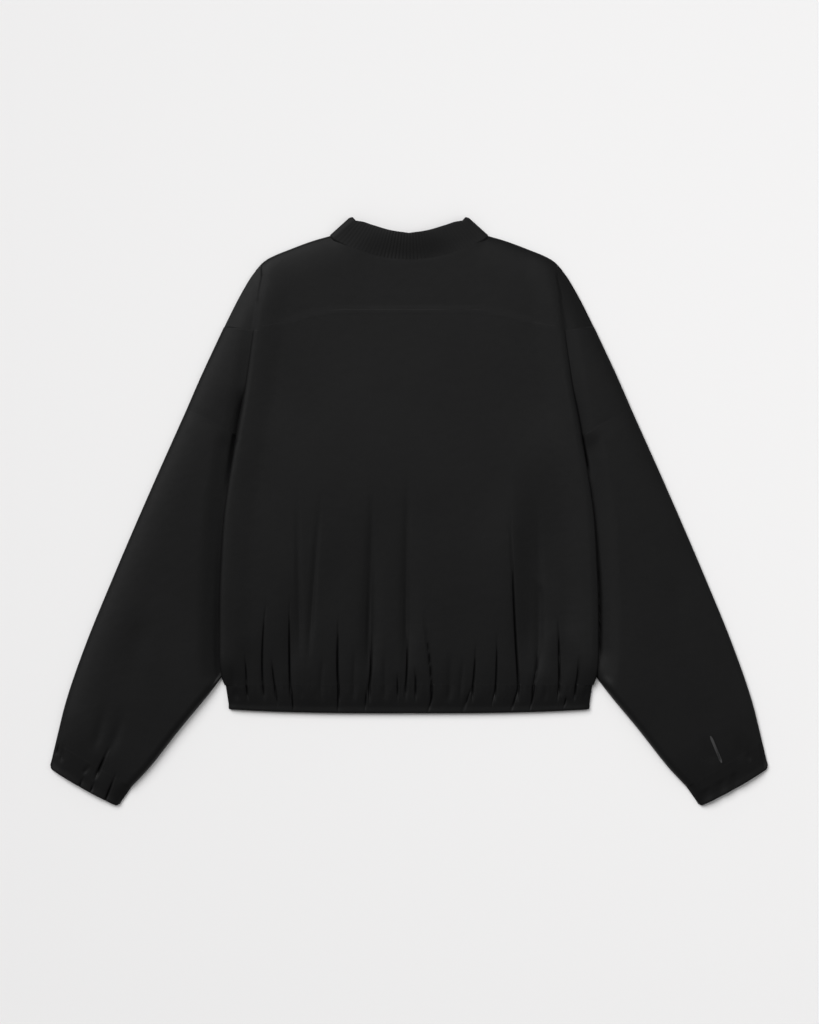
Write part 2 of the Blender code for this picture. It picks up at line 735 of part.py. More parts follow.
def make_sleeve(side, name, material):
    """A sleeve: a flattened tube through sections from the armhole to the cuff seam."""
    shares = [(place, True) for place in RING_TOP] + [(place, False) for place in RING_BOTTOM]
    outer = []
    inner = []
    for i in range(SLEEVE_ROWS):
        share = 1 - (1 - i / (SLEEVE_ROWS - 1)) ** 1.25
        width = sleeve_place(share, 0.5)[2]
        ring_outer, ring_inner = ring_points(width, SLEEVE_TOP, SLEEVE_ROLL, shares)
        for (upper, (distance, z)), (within, inner_z) in zip(zip(shares, ring_outer), ring_inner):
            x, y, _ = sleeve_place(share, distance / width)
            relief = crease_height(x, y) if upper[1] and 0.02 < upper[0] < 0.98 else 0.0
            outer.append((x, y, z + relief))
            x, y, _ = sleeve_place(share, within / width)
            inner.append((x, y, inner_z))
    faces = grid_faces(SLEEVE_ROWS, len(shares), closed=True)
    return build_piece(name, mirror(outer, side), mirror(inner, side), faces, material)


def gathered_shares(gathers):
    """Ring places with three points to each gather on top, and few below."""
    pitch = gathers[1] - gathers[0]
    places = [0.0, 0.01, 0.03]
    for middle in gathers:
        places.extend([middle - pitch * 0.42, middle])
    places.extend([gathers[-1] + pitch * 0.42, 0.97, 0.99, 1.0])
    return [(place, True) for place in places] + [(place, False) for place in RING_BOTTOM]


def make_cuff(side, name, material):
    """A cuff: a short band gathered on elastic, as wide at its end as a relaxed wrist."""
    shares = gathered_shares(CUFF_GATHERS)
    start = sleeve_section(1.0)
    end = list(CUFF_END[1:])
    outer = []
    inner = []
    for along in (0.012, 0.25, 0.6, 0.88, 1.0):
        line = [a + (b - a) * along for a, b in zip(start, end)]
        width = math.hypot(line[2] - line[0], line[3] - line[1])
        ring_outer, ring_inner = ring_points(width, SLEEVE_TOP - 0.4 * along, BAND_ROLL, shares)
        swell = 0.55 + 0.45 * math.sin(math.pi * along)
        for (place, upper), (distance, z), (within, inner_z) in zip(shares, ring_outer, ring_inner):
            relief = CUFF_RELIEF * swell if upper and place in CUFF_GATHERS else 0.0
            outer.append(place_on_line(line, distance / width, z + relief))
            inner.append(place_on_line(line, within / width, inner_z))
    faces = grid_faces(5, len(shares), closed=True)
    return build_piece(name, mirror(outer, side), mirror(inner, side), faces, material)


def place_on_line(line, share, z):
    """A point part of the way along a section's line."""
    return line[0] + (line[2] - line[0]) * share, line[1] + (line[3] - line[1]) * share, z


def make_hem_band(material):
    """The hem band: a flattened ring gathered on elastic and open at the zip."""
    gathers = [(gather.x + HEM_HALF_TOP) / (2 * HEM_HALF_TOP) for gather in HEM_GATHERS]
    top = [0.0, 0.004, 0.014]
    for before, middle in zip([0.03] + gathers, gathers):
        top.extend([(before + middle) / 2, middle])
    top.extend([0.98, 0.99, 0.996, 1.0])
    bottom_right = (0.62, 0.8, 0.97, 0.99, 0.997)
    outer = []
    inner = []
    rows = (0.0, 0.3, 0.7, 1.0)
    for along in rows:
        half = HEM_HALF_TOP + (HEM_HALF_BOTTOM - HEM_HALF_TOP) * along
        slit = (ZIP_HALF + SEAM_GAP) / (2 * half)
        right = [0.5 + slit] + list(bottom_right)
        shares = [(place, False) for place in right] + [(place, True) for place in reversed(top)]
        shares += [(1 - place, False) for place in reversed(right)]
        ring_outer, ring_inner = ring_points(2 * half, BAND_TOP, BAND_ROLL, shares)
        swell = 0.6 + 0.4 * math.sin(math.pi * along)
        for (place, upper), (distance, z), (within, inner_z) in zip(shares, ring_outer, ring_inner):
            relief = HEM_BAND_RELIEF * swell if upper and place in gathers else 0.0
            outer.append((distance - half, hem_y(distance - half, half, along), z + relief))
            inner.append((within - half, hem_y(within - half, half, along), inner_z))
    faces = grid_faces(len(rows), len(shares))
    return build_piece("hem_band", outer, inner, faces, material)


def hem_y(x, half, along):
    """The band's own height on the garment: straight at its seam, a little bowed at the hem."""
    start = HEM_SEAM_Y - SEAM_GAP / 2
    end = HEM_BOTTOM_Y + HEM_CORNER_RISE * abs(x / half) ** 3
    return start + (end - start) * along


# The collar --------------------------------------------------------------------------------------------------

def collar_stations():
    """Stations round the collar from one front edge to the other: (kind, place, relief)."""
    front = [("front", share, 0.0) for share in (0.0, 0.15, 0.35, 0.6, 0.85, 1.0)]
    turn = [("turn", angle, 0.0) for angle in (-60, -25, 0, 25, 60)]
    ribs = []
    for k in range(2 * RIB_COUNT + 1):
        ribs.append(("back", k / (2 * RIB_COUNT), RIB_RELIEF * (k % 2)))
    return front, turn, ribs


def collar_place(kind, place, across, deep):
    """A point of the collar wall: across runs from its seam to its top edge; deep chooses the inner side."""
    radius = COLLAR_TOP / 2
    wall_radius = radius - RIB_WALL if deep else radius
    lean_x, lean_y = COLLAR_SIDE[0] - COLLAR_TIP[0], COLLAR_TIP[1] - COLLAR_SIDE[1]
    lean = math.hypot(lean_x, lean_y)
    out_x, out_y = lean_y / lean, lean_x / lean
    side_x = COLLAR_SIDE[0] - lean_x * across - radius * out_x
    side_y = COLLAR_SIDE[1] + lean_y * across - radius * out_y
    if kind == "turn":
        angle = math.radians(place)
        reach = wall_radius * math.cos(angle)
        return side_x + reach * out_x, side_y + reach * out_y, radius + wall_radius * math.sin(angle)
    if kind == "back":
        x = side_x * place
        seam_y = read_curve(NECK_SEAM, "x", "y", abs(x)) + SEAM_GAP / 2
        edge_y = read_curve(COLLAR_EDGE, "x", "y", COLLAR_TIP[0] * abs(place))
        y = seam_y + (edge_y - seam_y) * across
        end_seam_y = read_curve(NECK_SEAM, "x", "y", side_x) + SEAM_GAP / 2
        end_y = end_seam_y + (COLLAR_TIP[1] - end_seam_y) * across
        return x, y + (side_y - end_y) * abs(place) ** 5, radius + wall_radius
    front_x = ZIP_HALF + SEAM_GAP
    middle_y = COLLAR_FRONT_SEAM_Y + (COLLAR_FRONT_TOP_Y - COLLAR_FRONT_SEAM_Y) * across
    x = front_x + (side_x - front_x) * place
    return x, middle_y + (side_y - middle_y) * place**NECK_BEND, radius - wall_radius


def make_collar(material):
    """The rib collar: folded flat, its ribbed back above and its two plain fronts below."""
    front, turn, ribs = collar_stations()
    outer = []
    inner = []
    across_steps = (0.0, 0.5, 1.0)
    for across in across_steps:
        for points, deep in ((outer, False), (inner, True)):
            right_front = [collar_place(kind, place, across, deep) for kind, place, _ in front]
            right_turn = [collar_place(kind, place, across, deep) for kind, place, _ in turn]
            back = []
            for kind, place, relief in ribs:
                x, y, z = collar_place(kind, 1 - 2 * place, across, deep)
                lift = 0.0 if deep else relief - RIB_RELIEF / 2
                back.append((x, y, z + lift))
            left_turn = mirror(reversed(right_turn), -1)
            left_front = mirror(reversed(right_front), -1)
            points.extend(right_front + right_turn + back + left_turn + left_front)
    columns = len(outer) // len(across_steps)
    faces = grid_faces(len(across_steps), columns)
    return build_piece("collar", outer, inner, faces, material)


# The zip and the tab -----------------------------------------------------------------------------------------

def make_block(name, outline, low, high, material):
    """A flat piece over an outline that is given as rows of two points."""
    upper = [(x, y, high) for row in outline for x, y in row]
    lower = [(x, y, low) for row in outline for x, y in row]
    faces = grid_faces(len(outline), 2)
    return build_piece(name, upper, lower, faces, material)


def make_zip(tape_material, metal_material):
    """The closed zip between the fronts, from the collar's top to the hem, and its slider."""
    slider_low = COLLAR_FRONT_TOP_Y - 16.0
    slider_high = COLLAR_FRONT_TOP_Y - 2.0
    bottom = HEM_BOTTOM_Y + 1.0
    rows = [((-ZIP_HALF, y), (ZIP_HALF, y)) for y in (bottom, slider_low - SEAM_GAP)]
    make_block("zip", rows, 0.2, 1.8, tape_material)
    waist = 3.4
    shape = (
        (slider_low, waist),
        (slider_low + 5.0, waist),
        (slider_low + 10.0, 5.4),
        (slider_high, 4.6),
    )
    rows = [((-half, y), (half, y)) for y, half in shape]
    make_block("zip_slider", rows, 0.2, 2.0, metal_material)


TAB_TOP = (381.6, -284.4)
TAB_END = (396.0, -318.2)
TAB_HALF = 1.7
TAB_THICK = 1.0


def make_tab(material):
    """The small plain tab that lies on the right sleeve, above its cuff."""
    length = math.hypot(TAB_END[0] - TAB_TOP[0], TAB_END[1] - TAB_TOP[1])
    out_x = (TAB_TOP[1] - TAB_END[1]) / length
    out_y = (TAB_END[0] - TAB_TOP[0]) / length
    outer = []
    inner = []
    rows = 7
    for i in range(rows):
        share = i / (rows - 1)
        middle_x = TAB_TOP[0] + (TAB_END[0] - TAB_TOP[0]) * share
        middle_y = TAB_TOP[1] + (TAB_END[1] - TAB_TOP[1]) * share
        base = SLEEVE_TOP + 0.5 + max(
            crease_height(middle_x + reach * out_x, middle_y + reach * out_y) for reach in (-6, -3, 0, 3, 6)
        )
        for reach in (-TAB_HALF, TAB_HALF):
            x = middle_x + reach * out_x
            y = middle_y + reach * out_y
            outer.append((x, y, base + TAB_THICK))
            inner.append((x, y, base))
    return build_piece("sleeve_tab", outer, inner, grid_faces(rows, 2), material)


def clear_scene():
    """Remove whatever the new file holds."""
    for thing in list(bpy.data.objects):
        bpy.data.objects.remove(thing, do_unlink=True)


def build_jacket():
    """Make every piece in its place."""
    cloth_colour = (0.014, 0.014, 0.0145)
    rib_colour = (0.010, 0.010, 0.0105)
    metal_colour = (0.03, 0.03, 0.032)
    make_yoke(make_material("yoke_cloth", cloth_colour, 0.62))
    make_back(make_material("back_cloth", cloth_colour, 0.62))
    make_hem_band(make_material("hem_cloth", cloth_colour, 0.64))
    make_collar(make_material("collar_rib", rib_colour, 0.85))
    for side, hand in ((-1, "left"), (1, "right")):
        make_front(side, f"front_{hand}", make_material(f"front_{hand}_cloth", cloth_colour, 0.62))
        make_sleeve(side, f"sleeve_{hand}", make_material(f"sleeve_{hand}_cloth", cloth_colour, 0.62))
        make_cuff(side, f"cuff_{hand}", make_material(f"cuff_{hand}_cloth", cloth_colour, 0.64))
    make_zip(make_material("zip_tape", rib_colour, 0.7), make_material("slider_metal", metal_colour, 0.4))
    make_tab(make_material("tab_tape", (0.05, 0.05, 0.052), 0.6))


clear_scene()
build_jacket()
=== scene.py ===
"""Looks for a cropped bomber jacket that lies face down: its cloth, folds, seams, stitches, rib and zip.

Sizes are in millimetres until they become meshes. X runs across the jacket from its middle, Y from the hem to
the collar and Z up from the floor. The panels are symmetrical; their folds are given one by one on each side.
"""

import math
from collections import namedtuple

import bpy
import numpy as np
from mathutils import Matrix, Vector


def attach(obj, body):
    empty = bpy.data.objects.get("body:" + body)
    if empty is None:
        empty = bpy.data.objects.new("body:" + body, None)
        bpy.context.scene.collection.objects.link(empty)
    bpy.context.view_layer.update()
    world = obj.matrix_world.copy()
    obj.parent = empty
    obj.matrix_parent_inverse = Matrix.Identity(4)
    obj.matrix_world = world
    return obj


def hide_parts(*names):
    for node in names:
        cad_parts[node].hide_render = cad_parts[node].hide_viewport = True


MM = 0.001

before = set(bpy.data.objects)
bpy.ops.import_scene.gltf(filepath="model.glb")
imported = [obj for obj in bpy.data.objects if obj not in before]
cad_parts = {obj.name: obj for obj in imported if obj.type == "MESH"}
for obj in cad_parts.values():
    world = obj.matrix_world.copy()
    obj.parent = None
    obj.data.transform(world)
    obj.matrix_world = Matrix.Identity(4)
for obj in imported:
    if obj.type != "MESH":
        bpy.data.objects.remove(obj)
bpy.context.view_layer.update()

# How thick the cloth and the rib are, and the gaps at seams and between layers.
CLOTH = 1.3
RIB = 2.4
SEAM_GAP = 0.3
LAYER_GAP = 0.3

# Faces that meet more sharply than this keep a hard edge.
SHARP_ANGLE = math.radians(55)

# How many points the pieces have. Folds narrower than the crisp ones' limit have more points round them.
CRISP = 3
BACK_COLUMNS = 430
UPPER_ROWS = 27
BAND_COLUMNS = 420
SLEEVE_COLUMNS = (190, 30)
CUFF_COLUMNS = (130, 34)
CROWDING = 2.5

# How a piece's edge runs on under its neighbour: how far each hidden row reaches, how much of the full depth
# it sinks, and that depth.
TUCK_ROWS = ((2.4, 1), (0.45, 0.03), (0.2, 0))
TUCK_DEPTH = 1.5

# Heights of the middle of each wall above the floor.
FRONT_LEVEL = 0.75
FRONT_OVER_SLEEVE = 9.2
BACK_OVER_SLEEVE = 12.2
STRIP_LEVEL = 11.6
SLEEVE_LEVEL = 11.9
SLEEVE_PRESSED = 7.6
EDGE_LEVEL = 2.9
LOWEST_ON_FRONT = 2.7
LOWEST_ON_SLEEVE = 6.2
BAND_LEVEL = 6

# Slow waves in the cloth: how high, how large, and where in their cycle they start.
BODY_WAVES = (0.7, 42, 0.8)
SHOULDER_WAVES = (0.35, 30, 1.9)
SLEEVE_WAVES = (0.5, 36, 0.4)

# How deep the cloth dips at seams and stitches, and how far to each side.
ARMHOLE_DIP = (0.06, 2)
NECK_DIP = (0.1, 3)
STITCH_DIP = (0.16, 1.2)

# Where the back sinks on its lower right, how far, and how softly it settles on what lies under it.
SLUMP = 5
SLUMP_LEFT = 128
SLUMP_RIGHT = 240
SLUMP_TOP = 90
SETTLING = 1.3

# How far a sleeve's end falls towards its cuff and over what length, and how far the cuff falls in turn.
SLEEVE_FALL = 2.4
SLEEVE_FALL_REACH = 46
CUFF_FALL = 3

# The folded collar's height at its seam, how much more it has at its edge, and how far its sides turn.
COLLAR_HEIGHT = 10.2
COLLAR_RISE = 2.4
COLLAR_TURN = 6

# How far in from an edge the cloth starts to roll down to it, how far in the folded edge's crest still lifts
# the back, and how blunt a roll is.
OUTLINE_ROLL = 44
INNER_ROLL = 10
FOLD_ROLL = 8
FOLD_RIM = 34
BAND_ROLL = 16
ROLL_POWER = 2.3

# The body's cut.
NECK_HALF = 99.7
YOKE_END = 234.6
STRIP_TOP_Y = 232.8
SHOULDER_CORNER = (195, 305)
FOLD_TOP_Y = 296.5
HEM_SEAM_Y = -220.3
ZIP_HALF = 7
FRONT_INSET = 4
NECK_BEND = 1.6
ARMHOLE_OUTER = (281.9, 128.9)
UNDERARM = (138.4, -42.5)
ARMHOLE_BULGE = 30
FOLD_CROSSING = 0.285
BACK_SLOPE = 67
HEM_HALF_TOP = 232
HEM_HALF_BOTTOM = 227.3
HEM_BOTTOM_Y = -255.9
HEM_CORNER_RISE = 5.1
COLLAR_TIP = (72.4, 374)
COLLAR_SIDE = (98.7, 350.4)
COLLAR_FRONT_TOP_Y = 300
COLLAR_FRONT_SEAM_Y = 262
COLLAR_ROUNDING = 2.6
COLLAR_LENGTH = 33
COLLAR_FOLDED = 1.3
RIB_COUNT = 40
RIB_RELIEF = 0.34
RIB_STRETCHED = 0.08
FRONT_RIB_COUNT = 22
FRONT_RIB_RELIEF = 0.2
COLLAR_SUNK = 4.4

# Half the body's width at the yoke seam, roughly, and how far across the yoke its columns close up.
HALF_AT_SEAM = 196
YOKE_SIDE = 197

Edge = namedtuple("Edge", "y x")
Seam = namedtuple("Seam", "x y")
Level = namedtuple("Level", "y foot crown")
Crest = namedtuple("Crest", "y crown")
Section = namedtuple("Section", "share outer_x outer_y inner_x inner_y")
Fold = namedtuple("Fold", "x0 y0 x1 y1 x2 y2 depth width rise", defaults=(0,))
Column = namedtuple("Column", "seam_x top_x")
Middle = namedtuple("Middle", "out_y in_y")
Cut = namedtuple("Cut", "name width length area held")


def table(kind, rows):
    """A table's rows, each with its columns named."""
    return tuple(kind(*row) for row in rows)


SHOULDER_SIDE = table(Edge, (
    (128.9, 281.9), (167, 265.4), (207.6, 246.6), (248.3, 227.3), (268.6, 217.2), (282.6, 209.6),
    (297.8, 200.5), (305, 195),
))
SHOULDER_LINE = table(Seam, (
    (99.7, 349.2), (120.6, 343.2), (150, 332.4), (178, 320.4), (188, 313), (195, 305),
))
FOLD_EDGE = table(Edge, (
    (-221, 233), (-209, 237.2), (-180, 239.6), (-112, 239.4), (-62, 237.5), (-11, 234.5), (35, 228.6),
    (70, 222.6), (105, 217.6), (130, 213), (153, 208.5), (187, 203.2), (232, 196.8), (268, 192),
    (296.5, 187),
))

# Heights along the body's folded side edge: where its roll ends, and its crest.
FOLD_LEVELS = table(Level, (
    (-221, 2.6, 7.4), (-212, 4.6, 10), (-204, 7, 12), (-194, 8.8, 13.6), (-180, 9.4, 14.3),
    (60, 9.2, 14.3), (104, 9.2, 14), (122, 9.4, 13.8), (153, 9.6, 13.4), (187, 9.9, 13),
    (232, 10.4, 12.6), (262, 10.9, 12.2), (296.5, 11, 11.2),
))

# Heights of the back's middle: domed over the shoulder blades, and falling away to the gathered hem.
MIDDLE_LEVELS = table(Crest, (
    (-221, 6.1), (-200, 7.9), (-170, 9.2), (-130, 10), (-90, 10.5), (-10, 11.2), (60, 11.6), (150, 11),
    (250, 10.6), (320, 10.2),
))
YOKE_SEAM = table(Seam, (
    (0, 250.8), (85, 250.6), (107, 248), (130, 243), (150, 237), (170, 232.2), (196, 229), (234.6, 233),
))
NECK_SEAM = table(Seam, (
    (0, 319.4), (29, 322), (49.5, 327), (75, 336.2), (99.7, 349),
))
COLLAR_EDGE = table(Seam, (
    (0, 353), (24, 356.3), (49.5, 363.9), (66, 371.6), (72.4, 374),
))

# Where the turned edge and its stitches fade out, and how far the stitches lie above the yoke seam.
SEAM_FADE = 196
TOPSTITCH_RISE = 5.2
YOKE_COLUMNS = table(Column, (
    (0, 0), (104, 98.8), (197, 181), (234.6, 194.4),
))
FRONT_SHOULDER = ((96, 343), (120, 338.5), (150, 328), (176, 316.5), (188.5, 305))
FRONT_UNDERARM = ((137.8, -44.5), (172, -62), (206, -92))

# The height of a front's rows at its outer boundary and at the zip.
FRONT_MIDDLE = table(Middle, (
    (-220, -220), (-135, -150), (-62, -70), (100, 90), (150, 128), (240, 186), (303, 226), (341, 261.6),
))
SLEEVE_SECTIONS = table(Section, (
    (0, 281.9, 128.9, 138.4, -42.5), (0.25, 326.5, 29, 190, -130), (0.5, 372.1, -76.8, 238.2, -209.6),
    (0.75, 413.4, -178.4, 294.6, -280), (0.9, 435.6, -244, 330.5, -325.4),
    (1, 447.6, -292.7, 352.6, -348.8),
))
CUFF_LENGTH = 33.5
CUFF_FOLDED = 1.6
CUFF_BOW = 2
CUFF_CORNER = 3.4
BAND_FOLDED = 1.7
CUFF_END = Section(1, 455.9, -325.8, 369.8, -374)

# How folds are shaped: the shares of the trough and of its wide soft sides, where along its length a fold
# starts to fade and over what share of it, and how many half widths it reaches.
TROUGH = 0.85
SIDES = 0.15
FADE_START = 0.22
FADE_LENGTH = 0.78
FOLD_REACH = 6.5

# Folds, each from its deep end through its middle to the end where it fades: places, depth, half width, and
# for some the share of its length over which it deepens.
BACK_FOLDS = table(Fold, (
    (-185.4, -222, -185.4, -165, -179.1, -104.8, 4.3, 2.4),
    (-151, -222, -151.8, -163.2, -151.1, -104, 5.6, 2.4),
    (-137, -200, -140, -104.8, -141, 40, 2.2, 3.2, 0.35),
    (-128, -205, -119.4, -70.5, -109.2, 40, 2.8, 3.2, 0.35),
    (-89.5, -222, -90.8, -186.2, -88.9, -130, 5.4, 2.7),
    (-51, -222, -48.3, -194.8, -49.5, -150, 4.9, 2.7),
    (-52, -214, -49.5, -104.8, -45.7, 55, 3.6, 4.4, 0.2),
    (-1.3, -214, -3.8, -139.1, -1.3, 70, 2.8, 4, 0.25),
    (-4.5, -222, -2.6, -196, -2.5, -150, 3.8, 2.4),
    (28.6, -222, 26.1, -190, 18, -120, 4.2, 3),
    (8.3, -222, 8.3, -212, 6.5, -196, 3.1, 2.7),
    (-14.6, -222, -14.6, -214, -14, -204, 2.5, 2.4),
    (52.1, -222, 52.1, -201.3, 52.1, -173, 1.6, 3.4),
    (80.6, -222, 82.6, -205.3, 85.1, -165, 3.8, 2.7),
    (109.2, -222, 110.5, -209.8, 111.8, -150, 4, 2.4),
    (139, -222, 133, -120, 128, 10, 5.6, 2.8),
    (157.5, -222, 162.5, -189.1, 163.4, -150, 4.9, 3.2),
    (163, -222, 165.1, -100, 160.3, 40, 3, 5, 0.25),
    (190.5, -222, 190.5, -194.9, 189, -130, 5.2, 2.6),
    (211, -222, 213.4, -209.8, 215.9, -180, 3.8, 2.4),
    (-206.4, -222, -206.4, -206.8, -208.3, -170, 3, 2.6),
    (-170.2, -222, -172.7, -203.8, -174.7, -180, 3.8, 2.4),
    (-222, -218, -223, -206, -226, -190, 1.6, 3.4),
    (150, -222, 152, -110, 146, 30, 1.6, 12, 0.3),
    (-148, -222, -144, -150, -134, -20, 1.5, 14, 0.3),
    (-205, -222, -203, -170, -196, -100, 1.2, 14, 0.4),
    (-50, -222, -48, -130, -40, 40, 2.9, 11, 0.3),
    (2, -222, 0, -120, -4, 60, 2.1, 10, 0.3),
    (196, -222, 200, -130, 203, -40, 1.4, 12, 0.3),
    (-112, -220, -111, -206, -109, -180, 1.2, 2.6),
    (-70, -220, -70, -208, -69, -170, 1.3, 2.6),
    (-30, -220, -31, -206, -31, -176, 1.3, 2.8),
    (66, -220, 67, -208, 69, -180, 1, 2.6),
))
BAND_FOLDS = table(Fold, (
    (-149.2, -217, -148.3, -232, -146.7, -260, 5.2, 2),
    (-89.5, -217, -90.2, -236, -90.2, -260, 4.9, 2.2),
    (-52.1, -217, -54.6, -236, -56.5, -258, 4.3, 2.2),
    (29.2, -217, 28.6, -236, 21.6, -260, 4.9, 2.2),
    (81.9, -216, 76.2, -232, 65.4, -260, 4.5, 2),
    (109.2, -217, 108, -230, 104.1, -250, 3.8, 2),
    (138.4, -214, 136.5, -230, 126.4, -260, 5.2, 2.2),
    (158.8, -216, 157.5, -232, 151.8, -256, 4.7, 2.2),
    (190.5, -215, 191.5, -225, 193.7, -238, 4, 2.4),
    (199.4, -236, 197.5, -243, 195, -250, 3.1, 1.9, 0.2),
    (213.4, -211, 212, -225, 209.6, -242, 4.3, 2.2),
    (226, -222, 225, -230, 223, -240, 2.9, 3.2),
    (-206.4, -216, -206, -226, -205.7, -240, 3.6, 2.3),
    (-168.9, -219, -168, -232, -166.4, -250, 3.8, 2),
    (-221, -218, -219.5, -228, -217.5, -242, 3.2, 3.6),
    (-136, -218, -136, -228, -137, -240, 1.3, 3.2),
    (-119, -219, -118, -230, -118, -240, 1, 3.2),
    (-71, -219, -71, -230, -72, -242, 1, 3.2),
    (-30, -219, -31, -230, -32, -240, 1.1, 3.2),
    (-14.6, -217, -14, -225, -14, -236, 2.5, 2.4),
    (8.3, -217, 8.5, -228, 9, -238, 2.2, 2.4),
    (52, -219, 51, -231, 49, -244, 1.6, 3.2),
    (174, -219, 173, -231, 170, -244, 1.6, 3),
))
LEFT_SLEEVE_FOLDS = table(Fold, (
    (-399, -342, -389, -318, -377, -294, 5.6, 3.2, 0.35),
    (-386, -318, -370, -280, -361, -238, 1.6, 6.5, 0.45),
    (-399, -308, -391, -272, -381, -236, 1.3, 5.5, 0.3),
    (-386, -368, -378, -348, -369, -328, 4.4, 2.5),
    (-414, -333, -408, -326, -402, -319, 1.3, 2.4, 0.3),
    (-419, -352, -416, -344, -411, -336, 2.8, 2.2),
    (-404, -356, -401, -348, -397, -342, 2.4, 2, 0.1),
    (-441, -320, -439, -303, -437, -286, 1.4, 2.3, 0.3),
    (-447, -308, -445, -298, -443, -290, 3, 2.6, 0.1),
    (-368, -372, -366, -358, -364, -344, 2.2, 7),
    (-231, -226, -231, -100, -222, 70, 5.6, 20),
    (-330, -120, -345, -180, -352, -240, 1, 14, 0.4),
))
RIGHT_SLEEVE_FOLDS = table(Fold, (
    (421.5, -320, 419.5, -300, 418, -280, 1.1, 5, 0.4),
    (432, -318, 430.5, -307, 429, -295, 1.3, 2.2, 0.3),
    (453, -325, 449.5, -310, 446, -296, 2.2, 3),
    (388, -326, 379, -303, 372, -280, 1, 6, 0.4),
    (395, -317, 391, -306, 386.5, -293, 1.8, 1.4, 0.1),
    (242, -206, 243, -100, 232, 60, 2, 9, 0.12),
    (322, -60, 345, -140, 372, -215, 1, 14, 0.4),
))

# The hollows beside the folded edges, where the armholes' spare cloth sinks: wide on the left and narrow on
# the right.
LEFT_HOLLOWS = table(Fold, (
    (-207, 160, -221, 76, -232, 5, 10, 9.8, 0.25),
))
RIGHT_HOLLOWS = table(Fold, (
    (240.5, -200, 238.6, -62, 222.5, 75, 4.2, 3.4, 0.15),
    (229, 40, 214.5, 118, 204.5, 190, 4.6, 3.4, 0.2),
))


# Curves and distances

def shares(count):
    """Even shares from 0 to 1."""
    return np.linspace(0, 1, count)


def mix(start, end, share):
    """The value that lies a share of the way from a start to an end."""
    return start + (end - start) * share


def smooth(share):
    """Ease from 0 to 1 as the share does."""
    share = np.clip(share, 0, 1)
    return share * share * (3 - 2 * share)


def read_curve(rows, key, value, at):
    """Read one column of a table against another, on a smooth curve through its rows."""
    places = np.array([getattr(row, key) for row in rows], dtype=float)
    values = np.array([getattr(row, value) for row in rows], dtype=float)
    steps = np.diff(places)
    rises = np.diff(values) / steps
    before, after = rises[:-1], rises[1:]
    together = before * after > 0
    slopes = np.concatenate((rises[:1], np.zeros(len(rises) - 1), rises[-1:]))
    total = np.where(together, before + after, 1)
    slopes[1:-1] = np.where(together, 2 * before * after / total, 0)
    at = np.clip(at, places[0], places[-1])
    i = np.clip(np.searchsorted(places, at, side="right") - 1, 0, len(steps) - 1)
    t = (at - places[i]) / steps[i]
    return (
        (2 * t**3 - 3 * t**2 + 1) * values[i]
        + (t**3 - 2 * t**2 + t) * slopes[i] * steps[i]
        + (3 * t**2 - 2 * t**3) * values[i + 1]
        + (t**3 - t**2) * slopes[i + 1] * steps[i]
    )


def distance_to(line, x, y):
    """The distance from places to a line of points, and the share of its length at the nearest point."""
    line = np.asarray(line, dtype=float)
    lengths = np.hypot(*np.diff(line, axis=0).T)
    starts = np.concatenate(([0], np.cumsum(lengths)))
    nearest = np.full(np.shape(x), np.inf)
    share = np.zeros(np.shape(x))
    for (ax, ay), (bx, by), start, length in zip(line, line[1:], starts, lengths):
        dx, dy = bx - ax, by - ay
        t = np.clip(((x - ax) * dx + (y - ay) * dy) / (length * length), 0, 1)
        apart = np.hypot(x - ax - t * dx, y - ay - t * dy)
        closer = apart < nearest
        nearest = np.where(closer, apart, nearest)
        share = np.where(closer, (start + t * length) / starts[-1], share)
    return nearest, share


def roll_down(inset, level, end, reach):
    """The height of a wall that rolls down to its end as it nears an edge."""
    share = np.clip(1 - inset / reach, 0, 1)
    return mix(end, level, np.sqrt(np.clip(1 - share**ROLL_POWER, 0, 1)))


def fold_x(y):
    """Half the body's width, where its side edge folds over the sleeve."""
    return read_curve(FOLD_EDGE, "y", "x", y)


def shoulder_x(y):
    """Half the body's width on the dropped shoulder's outline."""
    return read_curve(SHOULDER_SIDE, "y", "x", y)


def neck_seam_y(x):
    """The neck seam, for places to the right of the middle."""
    return read_curve(NECK_SEAM, "x", "y", x)


def fold_foot(y):
    """Where the roll of the body's side edge ends above the floor."""
    return read_curve(FOLD_LEVELS, "y", "foot", y)


def armhole(share):
    """Places on the armhole seam, from the outline's kink (0) to the underarm (1)."""
    along_x = UNDERARM[0] - ARMHOLE_OUTER[0]
    along_y = UNDERARM[1] - ARMHOLE_OUTER[1]
    length = math.hypot(along_x, along_y)
    bulge = ARMHOLE_BULGE * 4 * share * (1 - share)
    x = ARMHOLE_OUTER[0] + along_x * share + bulge * along_y / length
    y = ARMHOLE_OUTER[1] + along_y * share - bulge * along_x / length
    return x, y


def sleeve_section(share):
    """The sleeve's outer and inner edge at shares of its length."""
    return [read_curve(SLEEVE_SECTIONS, "share", column, share) for column in Section._fields[1:]]


